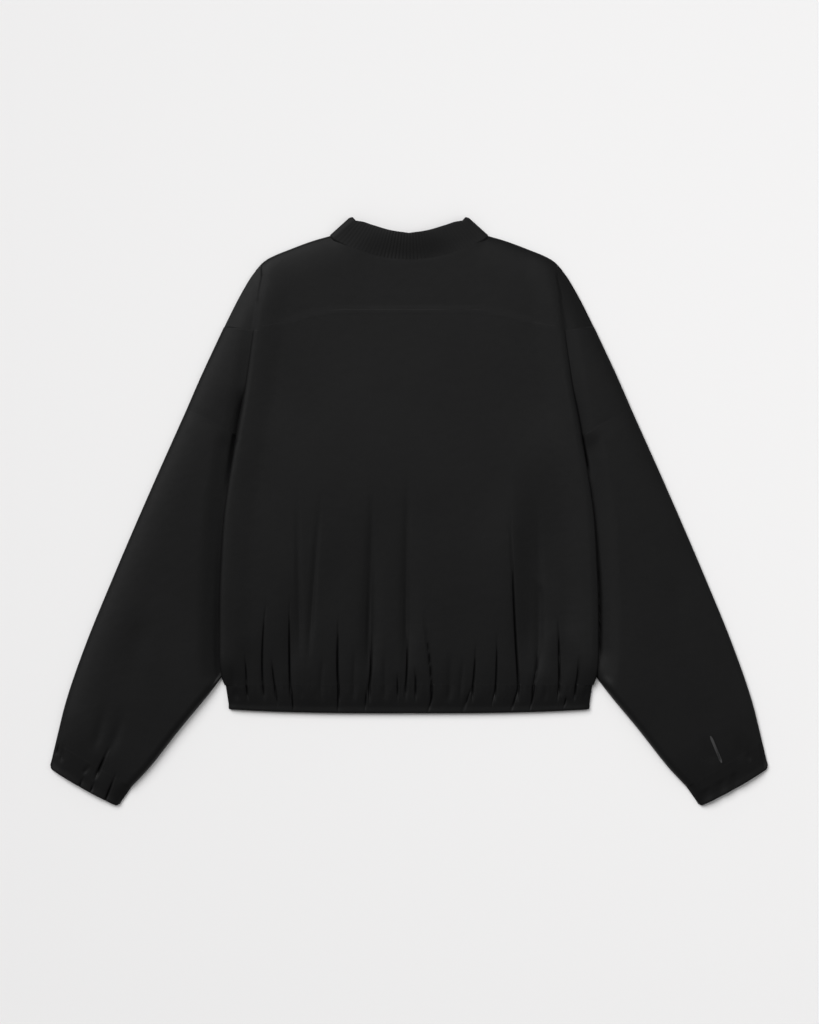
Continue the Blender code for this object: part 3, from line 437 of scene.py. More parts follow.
ALONG = shares(33)
OUTER_X, OUTER_Y, INNER_X, INNER_Y = sleeve_section(ALONG)
SIDE_Y = np.linspace(SHOULDER_SIDE[0].y, SHOULDER_SIDE[-1].y, 24)
SIDE_X = shoulder_x(SIDE_Y)
LINE_X = np.linspace(SHOULDER_CORNER[0], NECK_HALF, 16)
LINE_Y = read_curve(SHOULDER_LINE, "x", "y", LINE_X)
CUFF_OUTER = (CUFF_END.outer_x, CUFF_END.outer_y)
CUFF_SEAM = (SLEEVE_SECTIONS[-1][1:3], SLEEVE_SECTIONS[-1][3:5])
OUTER_SIDE = [CUFF_OUTER] + list(zip(OUTER_X[::-1], OUTER_Y[::-1]))
OUTLINE = OUTER_SIDE + list(zip(SIDE_X[1:], SIDE_Y[1:])) + list(zip(LINE_X[1:], LINE_Y[1:]))
INNER_SIDE = list(zip(INNER_X, INNER_Y)) + [(CUFF_END.inner_x, CUFF_END.inner_y)]
ARMHOLE_LINE = list(zip(*armhole(shares(25))))
SLEEVE_BOUNDARY = ARMHOLE_LINE + INNER_SIDE[1:22]


def over_sleeve(x, y):
    """How far places lie inside the sleeve's own outline; less than 0 beside it."""
    reach = distance_to(SLEEVE_BOUNDARY, x, y)[0]
    edge = np.array(SLEEVE_BOUNDARY[::-1])
    edge_x = np.interp(y, edge[:, 1], edge[:, 0])
    return np.where(x > edge_x, reach, -reach)


# Relief

def fold_line(fold):
    """The curved line of one fold, from its deep end to its faded end."""
    t = shares(12)
    first = 2 * (t - 0.5) * (t - 1)
    middle = 4 * t * (1 - t)
    last = 2 * t * (t - 0.5)
    xs = first * fold.x0 + middle * fold.x1 + last * fold.x2
    ys = first * fold.y0 + middle * fold.y1 + last * fold.y2
    return list(zip(xs, ys))


def fold_relief(folds, x, y):
    """Troughs, deepest where each fold starts: sharp where a fold is deeper than wide, and else soft."""
    total = np.zeros(np.shape(x))
    for fold in folds:
        reach = fold.width * FOLD_REACH
        xs, ys = fold[0:6:2], fold[1:6:2]
        across = (x > min(xs) - reach) & (x < max(xs) + reach)
        near = across & (y > min(ys) - reach) & (y < max(ys) + reach)
        if not near.any():
            continue
        apart, share = distance_to(fold_line(fold), x[near], y[near])
        across = apart / fold.width
        if fold.depth > fold.width:
            trough = -TROUGH * np.clip(1 - across / 0.8, 0, 1) - SIDES * np.exp(-((across / 2.6) ** 2))
        else:
            trough = -TROUGH * np.exp(-across * across) - SIDES * np.exp(-((across / 2) ** 2))
        length = 1 - smooth((share - FADE_START) / FADE_LENGTH)
        if fold.rise > 0:
            length = length * smooth(share / fold.rise)
        total[near] += fold.depth * length * trough
    return total


def ripple(x, pitch, shift):
    """Uneven fine waves along a seam."""
    warped = x + 2.3 * np.sin(x / 17 + shift) + 1.1 * np.sin(x / 6.1 + 2 * shift)
    swell = 0.65 + 0.35 * np.sin(x / 29 + 3 * shift)
    return np.sin(2 * np.pi * warped / pitch) * swell


def drift(x, y, size, shift):
    """Uneven waves over a panel, about 1 high at most."""
    a = np.sin(x / size + 1.3 * np.sin(y / (1.7 * size) + shift) + shift)
    b = np.sin(y / (1.3 * size) + 1.1 * np.sin(x / (1.9 * size) - shift) + 2.1 * shift)
    return 0.5 * (a + b)


def waves(x, y, height, size, shift):
    """Slow waves over a panel, as high as given."""
    return height * drift(x, y, size, shift)


def seam_dip(apart, depth, reach):
    """How far cloth dips towards a seam line."""
    return -depth * np.exp(-((apart / reach) ** 2))


# The cloth's heights

def yoke_seam_y(x):
    """The yoke seam, level in the middle and lower towards the armholes."""
    return read_curve(YOKE_SEAM, "x", "y", np.abs(x))


def body_base(x, y):
    """The middle of the back's wall inside its folded side edges, before its folds."""
    across = np.abs(x)
    crest = read_curve(FOLD_LEVELS, "y", "crown", y)
    inset = fold_x(y) - across
    over = smooth(1 + over_sleeve(across, y) / BACK_SLOPE)
    middle = read_curve(MIDDLE_LEVELS, "y", "crown", y)
    carried = np.maximum(BACK_OVER_SLEEVE, middle)
    near_hem = smooth((y + 215) / 60)
    level = middle + (carried - middle) * over * near_hem
    rim = smooth(1 - (inset - FOLD_ROLL) / FOLD_RIM)
    return mix(level, crest, rim)


def body_relief(x, y, inset):
    """The back's folds, gathers and slow waves, fading at its side edges."""
    above = y - HEM_SEAM_Y
    gathers = ripple(x, 8.2, 0.6) * 0.12 * np.exp(-above / 9)
    relief = fold_relief(BACK_FOLDS, x, y) + gathers + slump(x, y)
    return relief * smooth((inset - 1) / 11) + slow_waves(x, y, inset) * smooth(above / 40)


def slump(x, y):
    """How far the back sinks on its lower right, steeply from the left and gently from the right."""
    across = smooth((x - SLUMP_LEFT) / 32) * smooth((SLUMP_RIGHT - x) / 76)
    return -SLUMP * across * smooth((SLUMP_TOP - y) / 190) * smooth((y - HEM_SEAM_Y) / 90)


def back_level(x, y):
    """The middle of the back's wall, which settles softly on the cloth that lies under it."""
    across = np.abs(x)
    under = np.minimum(sleeve_room(across, y), 1)
    lowest = mix(LOWEST_ON_FRONT, LOWEST_ON_SLEEVE, under)
    level = body_base(x, y) + body_relief(x, y, fold_x(y) - across)
    return 0.5 * (level + lowest + np.hypot(level - lowest, SETTLING))


def sleeve_room(across, y):
    """How much of a sleeve's height lies under places: 0 beside it, 1 over its flat part."""
    return smooth(1 + over_sleeve(across, y) / 14) * smooth((y - HEM_SEAM_Y) / 20)


def slow_waves(x, y, inset):
    """The body's slow waves, which run on across the yoke seam and fade at the side edges."""
    return waves(x, y, *BODY_WAVES) * smooth((inset - 1) / 11)


def strip_level(x, y, foot):
    """The middle of the wall outside the body's folded edge, on the dropped shoulder."""
    across = np.abs(x)
    apart = across - fold_x(y)
    level = mix(foot, STRIP_LEVEL, smooth(apart / 20))
    level = level + waves(x, y, *SHOULDER_WAVES) * smooth(apart / 12)
    outline = distance_to(OUTLINE, across, y)[0]
    return np.minimum(level, roll_down(outline, level, EDGE_LEVEL, OUTLINE_ROLL))


def upper_level(x, y):
    """The middle of the wall over the shoulders, on both sides of the folded edge."""
    across = np.abs(x)
    crest = body_base(x, y)
    foot = fold_foot(y)
    inset = fold_x(np.minimum(y, FOLD_TOP_Y)) - across
    share = np.clip(1 - inset / FOLD_ROLL, 0, 1)
    inner = mix(foot, crest, np.sqrt(1 - share * share))
    level = np.where(inset > 0, inner, strip_level(x, y, foot))
    outline = distance_to(OUTLINE, across, y)[0]
    return np.minimum(level, roll_down(outline, level, EDGE_LEVEL, OUTLINE_ROLL))


def front_level(x, y):
    """The middle of a front's wall: on the floor, or lifted over the sleeve below the underarm."""
    inner = INNER_SIDE[:22]
    nearness = distance_to(inner, x, y)[0] + np.clip(y - UNDERARM[1], 0, None)
    inside = (over_sleeve(x, y) > 0) & (y < UNDERARM[1] + 2)
    near_hem = smooth((y - HEM_SEAM_Y) / 28)
    rise = smooth((50 - nearness) / 45)
    beside = FRONT_LEVEL + (FRONT_OVER_SLEEVE - FRONT_LEVEL) * rise * near_hem
    return np.where(inside, FRONT_OVER_SLEEVE, beside)


def below_back(x, y, layers):
    """The middle of the wall that lies some layers of cloth below the back."""
    return back_level(x, np.maximum(y, HEM_SEAM_Y)) - layers * (CLOTH + LAYER_GAP)


def sleeve_top(x, y, folds, hollows=()):
    """The middle of a sleeve's upper wall."""
    across = np.abs(x)
    kink = [ARMHOLE_OUTER, (SHOULDER_SIDE[1].x, SHOULDER_SIDE[1].y)]
    outer = distance_to(OUTER_SIDE + kink, across, y)[0]
    inner = distance_to(INNER_SIDE, across, y)[0]
    seam = distance_to(ARMHOLE_LINE, across, y)[0]
    inset = fold_x(y) - across
    beside = smooth(1 + inset / 30) * smooth((118 - y) / 30)
    in_body = smooth((y + 232) / 26)
    press = beside * in_body
    level = mix(SLEEVE_LEVEL, SLEEVE_PRESSED, press)
    level = level + seam_dip(seam, *ARMHOLE_DIP)
    above = distance_to(CUFF_SEAM, across, y)[0]
    lowered = np.clip(1 - above / SLEEVE_FALL_REACH, 0, 1) ** 2
    level = level + waves(x, y, *SLEEVE_WAVES) * (1 - press) * (1 - lowered)
    level = level - SLEEVE_FALL * lowered
    level = level + fold_relief(folds, x, y) * smooth(outer / 10) * smooth(inner / 4)
    level = roll_down(inner, level, EDGE_LEVEL, INNER_ROLL)
    level = np.minimum(level, roll_down(outer, level, EDGE_LEVEL, OUTLINE_ROLL))
    shared = smooth(1 - seam / 20) * smooth((2 - inset) / 10)
    level = mix(level, strip_level(x, y, fold_foot(y)), shared)
    return level + fold_relief(hollows, x, y)


# Meshes

def grid_faces(rows, columns, closed=False):
    """Four-sided faces over a grid of points, joined into a ring where it is closed."""
    around = columns if closed else columns - 1
    i, j = np.meshgrid(np.arange(rows - 1), np.arange(around), indexing="ij")
    k = (j + 1) % columns
    corners = (i * columns + j, i * columns + k, (i + 1) * columns + k, (i + 1) * columns + j)
    return np.stack([corner.ravel() for corner in corners], axis=1)


def lay(x, y, z):
    """A grid of points from its places and heights."""
    return np.stack(np.broadcast_arrays(x, y, z), axis=2)


def join_patches(patches):
    """Join grids of points that share their edges into one set of points and faces."""
    points = []
    faces = []
    start = 0
    for grid in patches:
        rows, columns = grid.shape[:2]
        points.append(grid.reshape(-1, 3))
        faces.append(grid_faces(rows, columns) + start)
        start += rows * columns
    points = np.concatenate(points)
    faces = np.concatenate(faces)
    _, kept, where = np.unique(np.round(points, 3), axis=0, return_index=True, return_inverse=True)
    return points[kept], where.reshape(-1)[faces]


def point_normals(points, faces):
    """The average direction that the faces round each point look in."""
    diagonals = points[faces[:, 2]] - points[faces[:, 0]], points[faces[:, 3]] - points[faces[:, 1]]
    normals = np.cross(*diagonals)
    total = np.zeros_like(points)
    for corner in range(4):
        np.add.at(total, faces[:, corner], normals)
    length = np.linalg.norm(total, axis=1, keepdims=True)
    return total / np.maximum(length, 1e-9)


def make_shell(name, points, faces, halves, tube=False):
    """A closed thin shell of cloth, a half thickness to each side of its middle points."""
    normals = point_normals(points, faces)
    facing = normals[:, 2] * (points[:, 2] - np.median(points[:, 2])) if tube else normals[:, 2]
    if facing.sum() < 0:
        normals = -normals
        faces = faces[:, ::-1]
    halves = np.broadcast_to(halves, len(points))[:, None]
    both = np.concatenate((points + normals * halves, points - normals * halves))
    return make_mesh(name, both, closed_faces(faces, len(points)))


def closed_faces(faces, count):
    """The faces of a sheet's two sides, which have the same points in the same order, and of its rim."""
    edges = np.concatenate([faces[:, [k, (k + 1) % 4]] for k in range(4)])
    _, first, uses = np.unique(np.sort(edges, axis=1), axis=0, return_index=True, return_counts=True)
    rim = edges[first[uses == 1]]
    walls = np.stack((rim[:, 1], rim[:, 0], rim[:, 0] + count, rim[:, 1] + count), axis=1)
    return np.concatenate((faces, faces[:, ::-1] + count, walls))


def make_sheet(name, grid, halves=CLOTH / 2, closed=False, tube=False):
    """A shell of cloth on one grid of points."""
    faces = grid_faces(*grid.shape[:2], closed=closed)
    return make_shell(name, grid.reshape(-1, 3), faces, halves, tube)


def make_mesh(name, points, faces):
    """An object with smooth faces, from points in millimetres."""
    mesh = bpy.data.meshes.new(name)
    mesh.from_pydata((np.asarray(points) * MM).tolist(), [], np.asarray(faces).tolist())
    mesh.shade_smooth()
    mesh.set_sharp_from_angle(angle=SHARP_ANGLE)
    piece = bpy.data.objects.new(name, mesh)
    bpy.context.scene.collection.objects.link(piece)
    return piece


def tuck(grid):
    """Carry a grid's first row on under its neighbour's edge in rows that sink and draw in from the sides."""
    step = grid[0] - grid[1]
    step[:, 2] = 0
    step /= np.maximum(np.linalg.norm(step, axis=1, keepdims=True), 1e-6)
    inward = grid[0].mean(axis=0) - grid[0]
    inward[:, 2] = 0
    away = np.maximum(np.linalg.norm(inward, axis=1, keepdims=True), 1e-6)
    rows = []
    for reach, sunk in TUCK_ROWS:
        depth = sunk * TUCK_DEPTH
        row = grid[0] + step * reach + inward / away * np.minimum(depth, away)
        row[:, 2] = grid[0][:, 2] + np.clip(EDGE_LEVEL - grid[0][:, 2], -depth, depth)
        rows.append(row)
    return np.concatenate((np.array(rows), grid))


def tucked_halves(halves, columns):
    """Half thicknesses for a grid with its tucked rows, from one for each of its own rows."""
    rows = np.concatenate((np.repeat(halves[:1], len(TUCK_ROWS), axis=0), halves))
    return np.repeat(rows, columns, axis=1).ravel()


def spaced(low, high, step):
    """Even places from low to high, about a step apart."""
    return np.linspace(low, high, max(2, int(round(abs(high - low) / step)) + 1))


def crowded(low, high, count, places, reach):
    """Places from low to high that lie closer together near some of them."""
    fine = np.linspace(low, high, 6000)
    near = np.exp(-(((fine[:, None] - np.asarray(places)[None, :]) / reach) ** 4)).sum(axis=1)
    dense = 1 + CROWDING * np.minimum(near, 1)
    total = np.concatenate(([0], np.cumsum((dense[1:] + dense[:-1]) / 2)))
    return np.interp(np.linspace(0, total[-1], count), total, fine)


def crisp_places(folds):
    """Where the crisp folds lie across the cloth, near their deep ends."""
    return np.array([(fold.x0 + fold.x1) / 2 for fold in folds if fold.width < CRISP])


# The back and its yoke

def back_rows(x):
    """The heights on the body of the back panel's rows, for places across it."""
    crossing_y = armhole(FOLD_CROSSING)[1] + SEAM_GAP
    seam = yoke_seam_y(x) - SEAM_GAP / 2
    upper = [seam * (1 - share) + crossing_y * share for share in shares(UPPER_ROWS)]
    hem = HEM_SEAM_Y + SEAM_GAP / 2
    lower = np.concatenate((spaced(crossing_y, -60, 6.4)[1:], spaced(-60, hem, 3.3)[1:]))
    return upper + [np.full(np.shape(x), y) for y in lower]


def make_back(material):
    """The back panel: its middle folds under at each side edge, and above the armholes it runs on outward."""
    half = np.full(len(back_rows(0)), HALF_AT_SEAM)
    for _ in range(4):
        row_ys = np.array([row[i] for i, row in enumerate(back_rows(half))])
        half = fold_x(row_ys)
    crest_x = half - FOLD_ROLL
    widest = crest_x.max()
    share = crowded(-1, 1, BACK_COLUMNS, crisp_places(BACK_FOLDS) / widest, 4 / widest)
    x = crest_x[:, None] * share[None, :]
    y = np.array([back_rows(row)[i] for i, row in enumerate(x)])
    y = np.where(np.abs(share)[None, :] > 0.999, row_ys[:, None], y)
    middle = lay(x, y, back_level(x, y))
    edges = []
    strips = []
    for side, column in ((-1, 0), (1, -1)):
        hollows = hollows_beside(side)
        edge = turned_edge(half, row_ys, middle[:, column, 2], hollows)
        strip = shoulder_strip(*edge[:UPPER_ROWS, -1].T, hollows)
        edges.append(edge * (side, 1, 1))
        strips.append((strip * (side, 1, 1))[:, ::side])
    patches = [np.concatenate((edges[0][:, ::-1], middle, edges[1]), axis=1)] + strips
    tucked = [tuck(patch)[: len(TUCK_ROWS) + 1] for patch in patches]
    points, faces = join_patches(patches + tucked)
    piece = make_shell("back_panel_cloth", points, faces, CLOTH / 2)
    return dress(piece, material, "shell_cloth", "back_panel")


def turned_edge(half, row_ys, crest, hollows):
    """The back's points round its right side edge: down from its crest, and lower down folded under."""
    hollow = fold_relief(hollows, half, row_ys) * smooth((row_ys - 88) / 12)
    under = np.maximum(smooth((96 - row_ys) / 36), smooth(-hollow / 5))
    last = np.radians(90 + 62 * under)
    angle = last[:, None] * shares(11)[None, 1:]
    drop = (crest - np.maximum(fold_foot(row_ys) + hollow, EDGE_LEVEL)) / (1 - np.cos(last))
    x = (half - FOLD_ROLL)[:, None] + FOLD_ROLL * np.sin(angle)
    return lay(x, row_ys[:, None], crest[:, None] - drop[:, None] * (1 - np.cos(angle)))


def mirrored_folds(folds):
    """The same folds on the other side."""
    return [fold._replace(x0=-fold.x0, x1=-fold.x1, x2=-fold.x2) for fold in folds]


def hollows_beside(side):
    """The hollows beside one folded edge, placed as if it were the right one."""
    return mirrored_folds(LEFT_HOLLOWS) if side < 0 else RIGHT_HOLLOWS


def shoulder_strip(inner_x, inner_y, foot, hollows):
    """The back's grid of points over the dropped shoulder, from the folded edge out to the outline."""
    rows = len(inner_x)
    s = shares(rows)[:, None]
    t = 1 - (1 - shares(30)) ** 1.6
    outer_y = mix(STRIP_TOP_Y, ARMHOLE_OUTER[1] + SEAM_GAP, s[:, 0])
    outer_x = shoulder_x(outer_y)
    top_x = mix(inner_x[0], outer_x[0], t)
    top_y = yoke_seam_y(top_x) - SEAM_GAP / 2
    seam_x, seam_y = armhole(FOLD_CROSSING * (1 - t))
    start_x, start_y = armhole(FOLD_CROSSING)
    seam_x = seam_x + (inner_x[-1] - start_x) * (1 - t) ** 16
    seam_y = seam_y + (inner_y[-1] - start_y) * (1 - t) + SEAM_GAP * t
    t = t[None, :]
    x = blend_patch(inner_x, outer_x, top_x, seam_x, s, t)
    y = blend_patch(inner_y, outer_y, top_y, seam_y, s, t)
    near_seam = distance_to(list(zip(seam_x, seam_y)), x, y)[0]
    z = strip_level(x, y, fold_foot(y)) + seam_dip(near_seam, *ARMHOLE_DIP)
    z = np.maximum(z + fold_relief(hollows, x, y), EDGE_LEVEL)
    z[:, 0] = foot
    return lay(x, y, z)


def blend_patch(left, right, top, bottom, s, t):
    """Fill a four-sided patch from its four edges."""
    sides = (1 - t) * left[:, None] + t * right[:, None]
    ends = (1 - s) * top[None, :] + s * bottom[None, :]
    corners = (
        (1 - s) * (1 - t) * left[0] + (1 - s) * t * right[0] + s * (1 - t) * left[-1] + s * t * right[-1]
    )
    return sides + ends - corners


def make_yoke(material):
    """The yoke, from the collar and the shoulders down to the yoke seam."""
    near = spaced(0, YOKE_SIDE, 2.4)
    far = mix(YOKE_SIDE, YOKE_END, 1 - (1 - shares(22)) ** 1.5)
    positive = np.concatenate((near, far[1:]))
    seam_x = np.concatenate((-positive[:0:-1], positive))
    across = np.abs(seam_x)[None, :]
    rise = (1 - (1 - shares(44)) ** 1.25)[::-1, None]
    top_x = read_curve(YOKE_COLUMNS, "seam_x", "top_x", across)
    neck_y = neck_seam_y(top_x) - SEAM_GAP
    top_y = np.where(top_x <= NECK_HALF, neck_y, read_curve(SHOULDER_LINE, "x", "y", top_x))
    bottom_y = yoke_seam_y(across)
    y = mix(bottom_y, top_y, rise)
    bow = shoulder_x(y) - mix(YOKE_END, SHOULDER_CORNER[0], rise)
    x = mix(across, top_x, rise) + bow * smooth((across - YOKE_SIDE) / (YOKE_END - YOKE_SIDE))
    x = x * np.sign(seam_x)[None, :]
    z = upper_level(x, y) + yoke_relief(x, y)
    piece = make_sheet("back_yoke_cloth", lay(x, y, z))
    return dress(piece, material, "shell_cloth", "back_yoke")


def yoke_relief(x, y):
    """The turned edge above the yoke seam, its row of topstitching, and the dip at the neck seam."""
    above = y - yoke_seam_y(x)
    fading = smooth((SEAM_FADE - np.abs(x)) / 50)
    turned = 0.32 * (1 - smooth((above - 6) / 4)) * fading
    stitched = seam_dip(above - TOPSTITCH_RISE, *STITCH_DIP) * fading
    neck = distance_to([(seam.x, seam.y) for seam in NECK_SEAM], np.abs(x), y)[0]
    inset = fold_x(np.minimum(y, FOLD_TOP_Y)) - np.abs(x)
    return turned + stitched + seam_dip(neck, *NECK_DIP) + slow_waves(x, y, inset)


# The fronts

def front_outline():
    """A front's outer boundary from the shoulder at the neck, down the armhole, to the hem."""
    line = list(FRONT_SHOULDER)
    for y in (285, 262, 240, 215, 190, 165, 145):
        line.append((float(shoulder_x(y)) - FRONT_INSET, y))
    for k in range(1, 16):
        x, y = armhole(k / 16)
        line.append((x - 0.5, y + 0.5))
    line.extend(FRONT_UNDERARM)
    line.append((float(fold_x(-135)) - 10, -135))
    for y in (-170, -198, -209):
        line.append((float(fold_x(y)) - 9, y))
    line.append((float(fold_x(HEM_SEAM_Y)) - 5, HEM_SEAM_Y + SEAM_GAP / 2))
    return line


def even_line(line, count):
    """The same line with evenly spread points, its own corners kept."""
    line = np.array(line)
    lengths = np.concatenate(([0], np.cumsum(np.hypot(*np.diff(line, axis=0).T))))
    extra = np.linspace(0, lengths[-1], count)
    places = np.unique(np.round(np.concatenate((lengths, extra)), 2))
    return np.interp(places, lengths, line[:, 0]), np.interp(places, lengths, line[:, 1])


def make_front(side, name, material):
    """A front, flat on the floor but for the part below the underarm that lies over the sleeve."""
    out_x, out_y = even_line(front_outline(), 150)
    in_y = np.where(out_y > HEM_SEAM_Y + 1, read_curve(FRONT_MIDDLE, "out_y", "in_y", out_y), out_y)
    bend = mix(1, NECK_BEND, smooth((out_y - 150) / 150))
    share = (1 - (1 - shares(56)) ** 1.3)[None, :]
    inner_x = ZIP_HALF + SEAM_GAP
    x = mix(inner_x, out_x[:, None], share)
    y = mix(in_y[:, None], out_y[:, None], share ** bend[:, None])
    above = y - HEM_SEAM_Y
    gathers = (0.7 + 0.7 * ripple(x * side, 12, 1.7)) * np.exp(-above / 26) * smooth(above / 3)
    wrinkle = 0.35 * (1 + drift(x * side, y, 33, 1.2))
    z = front_level(x, y) + gathers + wrinkle * smooth((x - inner_x) / 20)
    z = np.clip(z, FRONT_LEVEL, np.where(y < YOKE_SEAM[0].y, below_back(x * side, y, 1), z))
    piece = make_sheet(f"{name}_cloth", lay(x * side, y, z))
    return dress(piece, material, "shell_cloth", name)


# Flattened rings: the sleeves, the cuffs and the hem band

def ring_places(above, below):
    """Shares round a flattened ring, crowded at its two edges: across the top, then back below it."""
    top = (1 - np.cos(np.linspace(0, np.pi, above))) / 2
    bottom = (1 + np.cos(np.linspace(0, np.pi, below + 2)[1:-1])) / 2
    return np.concatenate((top, bottom))[None, :]


def ring_heights(upper, inset, tops):
    """Which places round a ring are its first ones, on top, and the heights of all of them."""
    is_top = np.arange(inset.shape[1])[None, :] < tops
    return is_top, np.where(is_top, np.maximum(upper, EDGE_LEVEL), under_level(inset))


def under_level(inset):
    """The middle of a ring's lower wall: on the floor but for its rounded edges."""
    share = np.clip(1 - inset / EDGE_LEVEL, 0, 1)
    low = CLOTH / 2 + 0.05
    return mix(low, EDGE_LEVEL, 1 - np.sqrt(np.clip(1 - share * share, 0, 1)))


def make_sleeve(side, name, folds, material):
    """A sleeve: a flattened tube through sections from the armhole to the cuff seam."""
    place = ring_places(*SLEEVE_COLUMNS)
    share = (1 - (1 - shares(112)) ** 1.25)[:, None]
    outer_x, outer_y, inner_x, inner_y = sleeve_section(share)
    width = np.hypot(inner_x - outer_x, inner_y - outer_y)
    along_x, along_y = (inner_x - outer_x) / width, (inner_y - outer_y) / width
    bulge = ARMHOLE_BULGE * 4 * place * (1 - place) * (1 - smooth(share / 0.6))
    x = outer_x + along_x * width * place + bulge * along_y
    y = outer_y + along_y * width * place - bulge * along_x
    upper = sleeve_top(x, y, folds, hollows_beside(side))
    upper = np.where(fold_x(y) - x > FOLD_ROLL, np.minimum(upper, below_back(x * side, y, 2)), upper)
    _, z = ring_heights(upper, np.minimum(place, 1 - place) * width, SLEEVE_COLUMNS[0])
    grid = tuck(lay(x * side, y, z))
    piece = make_sheet(f"{name}_cloth", grid, closed=True, tube=True)
    return dress(piece, material, "shell_cloth", name)


def folded_edge(apart, half, folded):
    """Half thicknesses of a band whose far end is folded over, rounded off in its last few millimetres."""
    thick = mix(half, folded, smooth(1 - apart / 9))
    share = np.clip(1 - apart / folded, 0, 1)
    return thick * np.sqrt(np.clip(1 - share * share, 0.0004, 1))


def band_rows(length, folded):
    """Shares of a band's length from its seam on, crowded at its folded end."""
    plain = spaced(0, length - folded, 2.4)
    end = length - folded * (1 - np.sin(np.linspace(0, np.pi / 2, 6)[1:]))
    return (np.concatenate((plain, end)) / length)[:, None]


def make_cuff(side, name, folds, ledge, material):
    """A cuff: a short band gathered on elastic, its end folded over, bowed and rounded at its corners."""
    place = ring_places(*CUFF_COLUMNS)
    start = SLEEVE_SECTIONS[-1][1:]
    end = CUFF_END[1:]
    along = band_rows(CUFF_LENGTH, CUFF_FOLDED)
    line = [mix(a, b, 0.012 + 0.988 * along) for a, b in zip(start, end)]
    width = np.hypot(line[2] - line[0], line[3] - line[1])
    edge_on = np.abs(2 * place - 1)
    bow = CUFF_BOW * (1 - edge_on**2) - CUFF_CORNER * np.clip((edge_on - 0.91) / 0.09, 0, 1) ** 2
    bow = bow * along**2 / CUFF_LENGTH
    x = mix(line[0], line[2], place) + bow * (end[0] + end[2] - start[0] - start[2]) / 2
    y = mix(line[1], line[3], place) + bow * (end[1] + end[3] - start[1] - start[3]) / 2
    inset = np.minimum(place, 1 - place) * width
    seam_x, seam_y = mix(start[0], start[2], place), mix(start[1], start[3], place)
    level = sleeve_top(seam_x, seam_y, ()) + fold_relief(folds, x, y) * smooth(inset / 5)
    level = level - CUFF_FALL * along
    uneven = 0.55 + 0.45 * np.sin(x / 3.1)
    level = level - ledge * uneven * smooth((along - 0.46) / 0.07) * smooth((place - 0.36) / 0.12)
    upper = np.minimum(level, roll_down(inset, level, EDGE_LEVEL, BAND_ROLL))
    is_top, z = ring_heights(upper, inset, CUFF_COLUMNS[0])
    halves = folded_edge((1 - along) * CUFF_LENGTH, CLOTH / 2, CUFF_FOLDED)
    lift = np.where(is_top, 0, np.maximum(halves - CLOTH / 2, 0))
    grid = tuck(lay(x * side, y, z + lift))
    piece = make_sheet(f"{name}_cloth", grid, tucked_halves(halves, grid.shape[1]), closed=True, tube=True)
    return dress(piece, material, "band_cloth", name)


def hem_y(x, half, along):
    """The band's own height on the garment: straight at its seam, a little bowed at the hem."""
    start = HEM_SEAM_Y - SEAM_GAP / 2
    end = HEM_BOTTOM_Y + HEM_CORNER_RISE * np.abs(x / half) ** 3
    return mix(start, end, along)


def make_hem_band(material):
    """The hem band: a flattened ring gathered on elastic, open at the zip, its lower end folded over."""
    length = -HEM_BOTTOM_Y + HEM_SEAM_Y
    along = band_rows(length, BAND_FOLDED)
    half = mix(HEM_HALF_TOP, HEM_HALF_BOTTOM, along)
    slit = (ZIP_HALF + SEAM_GAP) / (2 * half)
    edge = 0.5 * (1 - np.cos(np.linspace(0, np.pi / 2, 16))) * 0.07
    creases = (crisp_places(BAND_FOLDS) / HEM_HALF_TOP + 1) / 2
    inner = crowded(edge[-1], 1 - edge[-1], BAND_COLUMNS, creases, 2 / HEM_HALF_TOP)
    top = np.concatenate((edge[:-1], inner, (1 - edge)[-2::-1]))[::-1]
    near_edge = 1 - (1 - shares(12)[1:]) ** 2 * 0.14
    right = np.concatenate((np.linspace(0, 0.86, 60), near_edge))[:-1]
    rights = 0.5 + slit + (0.5 - slit) * right[None, :]
    tops = np.repeat(top[None, :], len(along), axis=0)
    place = np.concatenate((rights, tops, 1 - rights[:, ::-1]), axis=1)
    x = (place * 2 - 1) * half
    y = hem_y(x, half, along)
    inset = half - np.abs(x)
    is_top = np.zeros((1, place.shape[1]), dtype=bool)
    is_top[:, len(right):len(right) + len(top)] = True
    swell = np.sin(np.pi * along)
    seam_x = (place * 2 - 1) * HEM_HALF_TOP
    start = back_level(seam_x[:1], np.full_like(seam_x[:1], HEM_SEAM_Y))
    own = BAND_LEVEL + fold_relief(BAND_FOLDS, x, y) * smooth(inset / 8)
    level = mix(start, own, smooth(along / 0.7)) + 0.6 * swell - 0.9 * along
    upper = roll_down(inset, level, EDGE_LEVEL, BAND_ROLL)
    lower = under_level(inset) + 0.35 * (1 + ripple(x, 11, 2.2)) * smooth(inset / 10)
    z = np.where(is_top, np.maximum(upper, EDGE_LEVEL), lower)
    halves = folded_edge((1 - along) * length, CLOTH / 2, BAND_FOLDED)
    lift = np.where(is_top, 0, np.maximum(halves - CLOTH / 2, 0))
    grid = tuck(lay(x, y, z + lift))
    piece = make_sheet("hem_band_cloth", grid, tucked_halves(halves, grid.shape[1]), tube=True)
    return dress(piece, material, "band_cloth", "hem_band")


# The collar

